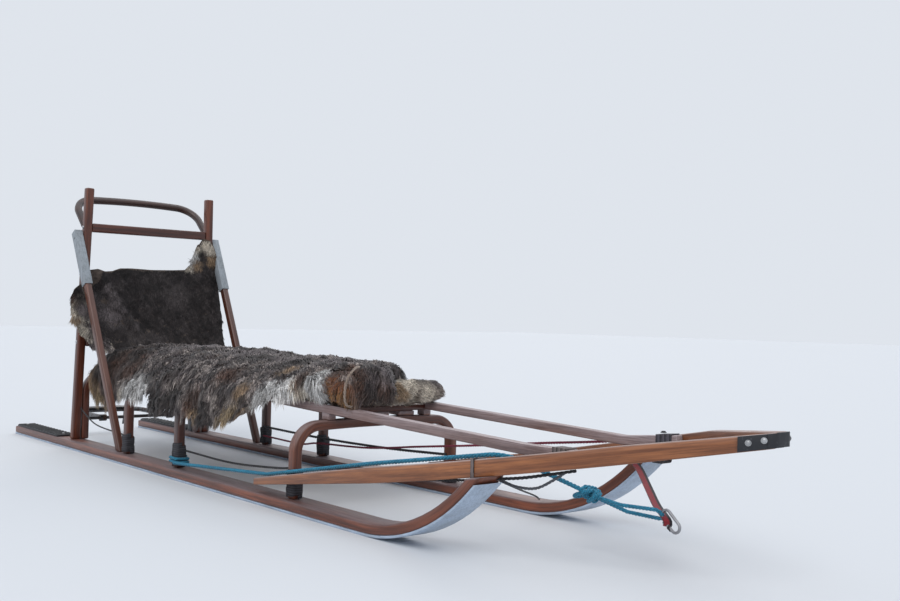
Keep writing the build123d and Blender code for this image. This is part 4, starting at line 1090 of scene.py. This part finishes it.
roll_closed = np.concatenate([roll, roll[:, :1]], axis=1)[:HAIR_TO]
section = roll_closed[ROLL_MIDDLE]
outwards = section - [ROLL_X, section[0, 1], ROLL_Z]
if np.sum(grid_normals(roll_closed)[0][ROLL_MIDDLE] * outwards) < 0:
    roll_closed = roll_closed[:, ::-1]


def roll_flow(root):
    """Hair lies along the roll, towards its left end."""
    return np.tile([0.25, 1.0, -0.1], (len(root), 1))


ROLL_PATCHES = [  # from the roll's middle: along the sled, across and up, then reach and shade
    # the dark patch at the left end is painted shade in the open end of the roll
    (0.0, 0.168, 0.0, 0.014, "dark"), (0.01, 0.03, 0.02, 0.05, "cream"), (0.0, 0.12, 0.02, 0.04, "ash"),
    (0.0, -0.09, 0.0, 0.05, "brown"), (0.02, 0.10, -0.01, 0.03, "cream"), (0.02, 0.00, 0.0, 0.025, "tan"),
]
comb("fur_roll_hair", roll_closed, count=26000, length=0.019, width=0.0028, lie=0.78, flow=roll_flow,
     patches=[(ROLL_X + x, y, ROLL_Z + z, reach, shade) for x, y, z, reach, shade in ROLL_PATCHES],
     seed=1100, coat=("sand", "brown", "cream"), spread=0.4, matted=0.20)


# Bridle: teal braided rope from the foot of the middle arch up over the right bow arm, and
# inside it down to a knot under the nose; two strands of it go on to the steel link.
ROPE, TURN_ROPE, KNOT_ROPE, LOOP_ROPE = 0.005, 0.0045, 0.00475, 0.0042     # radii, less where it is taut
KNOT = np.array([1.152, -0.006, 0.126])
STRAND_OUT, STRAND_RADIUS = 0.50, 0.54        # shares of the rope's radius


def rounded(points, radius, step=0.004):
    """Points along straight runs whose corners are rounded."""
    points = [np.array(p, float) for p in points]
    path = [points[0]]
    for a, b, c in zip(points, points[1:], points[2:]):
        u, v = a - b, c - b
        reach_u, reach_v = np.linalg.norm(u), np.linalg.norm(v)
        u, v = u / reach_u, v / reach_v
        half = math.acos(np.clip(u @ v, -1, 1)) / 2
        # a corner takes less than half of the runs beside it
        cut = min(radius / math.tan(half), reach_u * 0.49, reach_v * 0.49)
        for t in np.linspace(0, 1, 12):
            path.append((b + u * cut) * (1 - t) ** 2 + 2 * b * t * (1 - t) + (b + v * cut) * t * t)
    path.append(points[-1])
    path = np.array(path)
    gone = np.concatenate([[0], np.cumsum(np.linalg.norm(np.diff(path, axis=0), axis=1))])
    at = np.linspace(0, gone[-1], max(3, int(gone[-1] / step)))
    return np.column_stack([np.interp(at, gone, path[:, k]) for k in range(3)])


def frames_along(path):
    """For each point of a path, two directions across it that turn no more than the path does."""
    way = np.gradient(path, axis=0)
    way /= np.linalg.norm(way, axis=1, keepdims=True)
    side = np.cross(way[0], (0, 0, 1))
    if np.linalg.norm(side) < 0.1:
        side = np.cross(way[0], (1, 0, 0))
    frames = []
    for d in way:
        side = side - d * (side @ d)
        side /= np.linalg.norm(side)
        frames.append((side.copy(), np.cross(side, d)))
    return frames


def round_path(path, frames, radius, angle):
    """Points beside a path, at one radius and one angle for each point."""
    beside = [math.cos(a) * s + math.sin(a) * t for a, (s, t) in zip(angle, frames)]
    return path + radius * np.array(beside)


def rope(name, path, radius, material, strands=3, lay=6.0, sides=7):
    """Laid or braided rope: strands twisted round a path, joined as one piece."""
    frames = frames_along(path)
    gone = np.concatenate([[0], np.cumsum(np.linalg.norm(np.diff(path, axis=0), axis=1))])
    turned = 2 * math.pi * gone / (lay * radius)
    turns = np.linspace(0, 2 * math.pi, sides, endpoint=False)
    pieces = []
    for k in range(strands):
        line = round_path(path, frames, radius * STRAND_OUT, turned + 2 * math.pi * k / strands)
        across = frames_along(line)
        rings = [round_path(line, across, radius * STRAND_RADIUS, np.full(len(line), a)) for a in turns]
        pieces.append(closed_tube(f"{name}_{k}", np.stack(rings, axis=1), material))
    return join(pieces, name)


def braid_group():
    """Small crossing strands of a braided cover, darkened in the gaps between them as painted shade, with
    soil on some stretches.
    """
    tree, web, given, out = node_group(
        "braided_cover", dict(Vector="Vector", Colour="Color", Dark="Color", Scale="Float"),
        dict(Color="Color", Height="Float"))
    gap = web.node("ShaderNodeTexVoronoi", {"Vector": given["Vector"], "Scale": given["Scale"]}, "Distance")
    soil = web.fade(web.noise(given["Vector"], 12.0, 4.0), 0.40, 0.70)
    # the gaps between the strands take the dark colour: painted shade
    tone = web.blend(web.fade(gap, 0.1, 0.75), given["Colour"], given["Dark"])
    web.link(web.blend(web.math("MULTIPLY", soil, 0.5), tone, given["Dark"]), out["Color"])
    web.link(web.math("MULTIPLY", gap, -1.0), out["Height"])
    return tree


BRAID = braid_group()


def braid(name, colour, dark, scale=700.0, rough=0.7):
    """Braided cord; scale sets how fine its strands are."""
    material, web, shader = new_material(name, colour, rough, Sheen_Weight=0.15)
    web.dress(shader, web.group(BRAID, Vector=web.place(), Colour=colour, Dark=dark, Scale=scale), 0.001, 0.6)
    return material


TEAL = braid("teal_braid", (0.024, 0.345, 0.540), (0.008, 0.110, 0.185), scale=420.0, rough=0.75)
bridle_path = rounded([(-0.236, -0.272, 0.045), (0.300, -0.277, 0.081), (0.392, -0.2725, 0.0975),
                       (0.735, -0.266, 0.159), (1.105, -0.211, 0.219), KNOT], radius=0.06)
bridle = rope("bridle_rope_strands", bridle_path, ROPE, TEAL)
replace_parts(bridle, "bridle_rope")
for k, z in enumerate((0.046, 0.056)):
    turns_path = rounded([(-0.250, -0.230, z), (-0.225, -0.230, z), (-0.225, -0.272, z + 0.002),
                          (-0.267, -0.272, z + 0.004), (-0.267, -0.230, z + 0.003),
                          (-0.245, -0.230, z + 0.006)], radius=0.009)
    rope(f"bridle_turn_{k}", turns_path, TURN_ROPE, TEAL)
KNOT_LOOPS = [  # place from the knot's middle, half width, half height, tilt and lean
    (0.000, 0.000, 0.002, 0.0135, 0.0115, 0.0, 0.2), (0.007, 0.004, -0.003, 0.0120, 0.0110, 0.5, -0.3),
    (-0.008, -0.004, 0.004, 0.0120, 0.0105, -0.4, 0.5), (-0.014, -0.008, 0.001, 0.0200, 0.0080, 1.3, 0.1),
    (0.004, 0.002, -0.006, 0.0150, 0.0090, 1.5, -0.5),
]
KNOT_TURN = 2 * math.pi * 0.93                # each loop goes nearly once round
KNOT_DRIFT = 0.003 / 6                        # and moves on along the rope as it goes
knot_parts = []
for k, (dx, dy, dz, wide, tall, tilt, lean) in enumerate(KNOT_LOOPS):
    a = np.linspace(0, KNOT_TURN, 40)
    loop = np.column_stack([np.sin(a) * wide * math.sin(tilt), np.cos(a) * wide, np.sin(a) * tall])
    loop[:, 0] += np.cos(a) * wide * math.sin(lean) + KNOT_DRIFT * a
    knot_parts.append(rope(f"knot_turn_{k}", KNOT + loop + [dx, dy, dz], KNOT_ROPE, TEAL))
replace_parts(join(knot_parts, "bridle_knot_turns"), "bridle_knot")
loop_path = rounded([(1.146, -0.010, 0.126), (1.235, -0.012, 0.117), (1.322, -0.007, 0.120),
                     (1.3335, 0.000, 0.112), (1.322, 0.007, 0.101), (1.235, 0.010, 0.101),
                     (1.146, 0.008, 0.120)], radius=0.009, step=0.003)
loop_piece = rope("bridle_loop_strands", loop_path, LOOP_ROPE, TEAL)
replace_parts(loop_piece, "bridle_loop")


# Link and strap: a steel snap link closes the bridle; a red web strap with a black edge comes
# down to it from a turn round the left bow arm.
LINK_STEEL = dull_steel("link_steel", (0.36, 0.36, 0.38), amount=0.6)
link = eased("tow_link", edge=0.0028, material=LINK_STEEL, segments=3)
# against its solid the link is smaller, lower and tilted
LINK_FROM, LINK_TO = Vector((1.349, 0.0, 0.112)), Vector((1.3515, 0.0, 0.1015))
LINK_TILT, LINK_SIZE = math.radians(42), 0.80
link.data.transform(Matrix.Translation(LINK_TO) @ Matrix.Rotation(LINK_TILT, 4, "Y")
                    @ Matrix.Scale(LINK_SIZE, 4) @ Matrix.Translation(-LINK_FROM))
STRAP_RED, STRAP_EDGE = (0.25, 0.012, 0.022), (0.016, 0.012, 0.017)
STRAP_WIDE, TURN_WIDE, STRAP_THICK = 0.017, 0.022, 0.0025


def webbing():
    """Woven strap, its red middle and black edge painted along it."""
    material, web, shader = new_material("red_webbing", (0.25, 0.018, 0.022), 0.8, Sheen_Weight=0.2)
    painted = web.add("ShaderNodeVertexColor")
    painted.layer_name = "strap"
    weave = web.noise(web.stretch(web.place(), (700.0, 700.0, 160.0)), 1.0, 2.0)
    tone = web.darken(0.8, painted.outputs["Color"], web.fade(weave, 0.35, 0.6), (0.45, 0.43, 0.43),
                      (1.15, 1.1, 1.1))
    web.link(tone, shader.inputs["Base Color"])
    web.link(web.bump(weave, 0.0008, 0.6), shader.inputs["Normal"])
    return material


WEBBING = webbing()


def strap(name, path, across, width, red_to):
    """Flat strap along a path; across is the way its width lies, red_to the share of it that is red."""
    across = np.array(across, float)
    way = np.gradient(path, axis=0)
    way /= np.linalg.norm(way, axis=1, keepdims=True)
    flat = across - way * (way @ across)[:, None]
    flat /= np.linalg.norm(flat, axis=1, keepdims=True)
    share = np.linspace(-0.5, 0.5, 9)
    grid = path[:, None, :] + flat[:, None, :] * (share * width)[None, :, None]
    piece = sheet_mesh(name, grid, STRAP_THICK, WEBBING)
    count = len(piece.data.vertices)
    places = np.zeros(count * 3)
    piece.data.vertices.foreach_get("co", places)
    places = places.reshape(-1, 3)
    nearest = np.array([np.argmin(np.linalg.norm(path - p, axis=1)) for p in places])
    side = np.sum((places - path[nearest]) * flat[nearest], axis=1) / width + 0.5
    red = ((side > 0.0) & (side < red_to))[:, None]
    colour = np.concatenate([np.where(red, [STRAP_RED], [STRAP_EDGE]), np.ones((count, 1))], axis=1)
    paint = piece.data.color_attributes.new("strap", "FLOAT_COLOR", "POINT")
    paint.data.foreach_set("color", colour.reshape(-1))
    return piece


strap_path = smooth_line([(1.098, 0.196, 0.171), (1.130, 0.176, 0.160), (1.205, 0.112, 0.138),
                          (1.280, 0.046, 0.119), (1.334, 0.004, 0.109), (1.347, -0.002, 0.098),
                          (1.343, 0.000, 0.090)], count=60)
tow_strap = strap("tow_strap_web", strap_path, (0.70, 0.72, 0), STRAP_WIDE, red_to=0.64)
low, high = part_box("tow_strap")
TURN_X, ARM_IN, ARM_OUT = low[0] + 0.012, 0.214, 0.254
turn_path = rounded([(TURN_X, ARM_IN, 0.190), (TURN_X, ARM_IN, 0.229), (TURN_X, ARM_OUT, 0.229),
                     (TURN_X, ARM_OUT, 0.176), (TURN_X, ARM_IN, 0.176), (TURN_X, ARM_IN, 0.194)],
                    radius=0.004, step=0.002)
# the turn round the arm is painted wholly in the black of the edge: painted shade under the arm
turn_band = strap("tow_strap_turn", turn_path, (1, 0, 0), TURN_WIDE, red_to=0.0)
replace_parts(join([tow_strap, turn_band], "tow_strap_web"), "tow_strap")
stop_path = smooth_line([(1.338, -0.006, 0.098), (1.344, 0.004, 0.094), (1.349, -0.004, 0.089),
                         (1.350, 0.003, 0.083)], count=24)
rope("strap_stop_cord", stop_path, radius=0.0030, material=RUBBER, strands=2)


# Cords along the frame, thin and braided, tied at both ends: three black ones and a red one along
# the feet of the arches, black ones under the right bow arm and from it across to the left
# runner, and a grey one that hangs in a shallow bow under that arm.
BLACK_CORD = braid("black_cord", (0.024, 0.023, 0.028), (0.007, 0.007, 0.009))
RED_CORD = braid("red_cord", (0.42, 0.012, 0.060), (0.13, 0.006, 0.024))
GREY_CORD = braid("grey_cord", (0.13, 0.14, 0.165), (0.045, 0.048, 0.058))
CORD_STEP = 0.005     # between the points of a cord's path
CORDS = [  # name, material, radius and the places the cord runs through
    ("rear_foot_cord", BLACK_CORD, 0.0026, [
        (-1.098, -0.238, 0.158), (-0.990, -0.240, 0.118), (-0.880, -0.240, 0.092),
        (-0.612, -0.242, 0.082)]),
    ("near_foot_cord", BLACK_CORD, 0.0032, [
        (-0.232, -0.240, 0.080), (0.05, -0.243, 0.078), (0.300, -0.243, 0.094), (0.378, -0.243, 0.106)]),
    ("far_foot_cord", BLACK_CORD, 0.0042, [
        (-0.600, 0.236, 0.094), (-0.246, 0.2365, 0.090), (0.10, 0.236, 0.095), (0.392, 0.240, 0.107)]),
    ("red_foot_cord", RED_CORD, 0.0034, [
        (-0.598, 0.2365, 0.062), (-0.35, 0.232, 0.060), (-0.246, 0.2345, 0.072), (0.03, 0.232, 0.087),
        (0.30, 0.225, 0.120), (0.56, 0.212, 0.152), (0.80, 0.192, 0.184), (1.00, 0.180, 0.209),
        (1.195, 0.177, 0.236)]),
    ("under_arm_cord", BLACK_CORD, 0.0029, [
        (0.745, -0.262, 0.124), (1.000, -0.247, 0.155), (1.055, -0.240, 0.160)]),
    ("front_arm_cord", BLACK_CORD, 0.0034, [
        (1.075, -0.234, 0.166), (1.150, -0.214, 0.176), (1.215, -0.194, 0.190), (1.262, -0.174, 0.201)]),
    ("hanging_cord", GREY_CORD, 0.0031, [
        (1.080, -0.214, 0.170), (1.095, -0.205, 0.162), (1.130, -0.200, 0.155), (1.180, -0.197, 0.159),
        (1.224, -0.190, 0.182), (1.242, -0.183, 0.196)]),
    ("near_tip_cord", BLACK_CORD, 0.0022, [
        (1.078, -0.214, 0.166), (0.985, -0.060, 0.120), (0.880, 0.100, 0.075), (0.781, 0.215, 0.042)]),
]
for name, material, radius, points in CORDS:
    length = sum(np.linalg.norm(np.subtract(b, a)) for a, b in zip(points, points[1:]))
    rope(name, smooth_line(points, int(length / CORD_STEP)), radius, material,
         strands=3, lay=9.0, sides=6)


# Tie over the seat fur: a pale narrow thong of twisted hide. It comes up past the front of the
# right rail and holds the front edge of the fur down.
THONG = braid("hide_thong", (0.44, 0.35, 0.29), (0.20, 0.15, 0.115), scale=500.0, rough=0.8)
thong_path = smooth_line([(0.506, -0.150, 0.262), (0.511, -0.180, 0.266), (0.512, -0.190, 0.280),
                          (0.512, -0.190, 0.310), (0.516, -0.186, 0.334), (0.518, -0.176, 0.349),
                          (0.498, -0.150, 0.358), (0.470, -0.120, 0.358)], count=60)
rope("fur_thong", thong_path, radius=0.0034, material=THONG, strands=2)


# Floor, light and camera: a plain pale studio under an overcast sky with soft suns. The camera
# stands where the photograph was taken from.
scene.view_settings.view_transform = "Standard"
bpy.ops.object.select_all(action="DESELECT")
bpy.ops.mesh.primitive_plane_add(size=60, location=(0, 0, 0))
floor = bpy.context.object
floor.name = "studio_floor"
floor.data.materials.append(new_material("studio_floor_paint", (0.70, 0.72, 0.75), 0.9)[0])

world = bpy.data.worlds.new("studio_air")
scene.world = world
world.use_nodes = True
AIR_LIGHT, AIR_SEEN = (0.82, 0.88, 0.97), (0.74, 0.78, 0.84)
web = Web(world.node_tree)
sky = world.node_tree.nodes["Background"]
rays = web.add("ShaderNodeLightPath")
seen = web.math("MAXIMUM", rays.outputs["Is Camera Ray"],
                web.math("MAXIMUM", rays.outputs["Is Glossy Ray"], rays.outputs["Is Transmission Ray"]))
web.link(web.blend(seen, AIR_LIGHT, AIR_SEEN), sky.inputs["Color"])
web.link(web.fade(seen, 0.0, 1.0, 0.60, 1.0), sky.inputs["Strength"])

SUNS = [  # name, direction the light travels, strength, spread in degrees, colour
    ("key_sun", (-0.45, 0.62, -0.75), 1.25, 40, (1.0, 0.98, 0.95)),
    ("sky_sun", (0.25, -0.20, -1.0), 0.70, 90, (0.90, 0.95, 1.0)),
    ("rim_sun", (0.70, -0.60, -0.45), 0.45, 30, (1.0, 0.93, 0.86)),
]
for name, way, strength, spread, colour in SUNS:
    data = bpy.data.lights.new(name, "SUN")
    data.energy, data.angle, data.color = strength, math.radians(spread), colour
    lamp = bpy.data.objects.new(name, data)
    scene.collection.objects.link(lamp)
    lamp.matrix_world = Vector(way).to_track_quat("-Z", "Y").to_matrix().to_4x4()

CAMERA_AT = (2.6272, -1.6517, 0.4825)
YAW, PITCH, ROLL = (math.radians(a) for a in (139.7714, 1.0419, 1.3067))
camera_data = bpy.data.cameras.new("camera")
camera_data.lens = 42.0
camera_data.sensor_width = 36.0
camera_data.sensor_fit = "HORIZONTAL"
camera = bpy.data.objects.new("camera", camera_data)
scene.collection.objects.link(camera)
ahead = Vector((math.cos(YAW) * math.cos(PITCH), math.sin(YAW) * math.cos(PITCH), math.sin(PITCH)))
aside = ahead.cross(Vector((0, 0, 1))).normalized()
above = aside.cross(ahead)
rolled = math.cos(ROLL) * aside + math.sin(ROLL) * above
above = -math.sin(ROLL) * aside + math.cos(ROLL) * above
aside = rolled
camera.matrix_world = Matrix((
    (aside.x, above.x, -ahead.x, CAMERA_AT[0]), (aside.y, above.y, -ahead.y, CAMERA_AT[1]),
    (aside.z, above.z, -ahead.z, CAMERA_AT[2]), (0, 0, 0, 1)))
scene.camera = camera
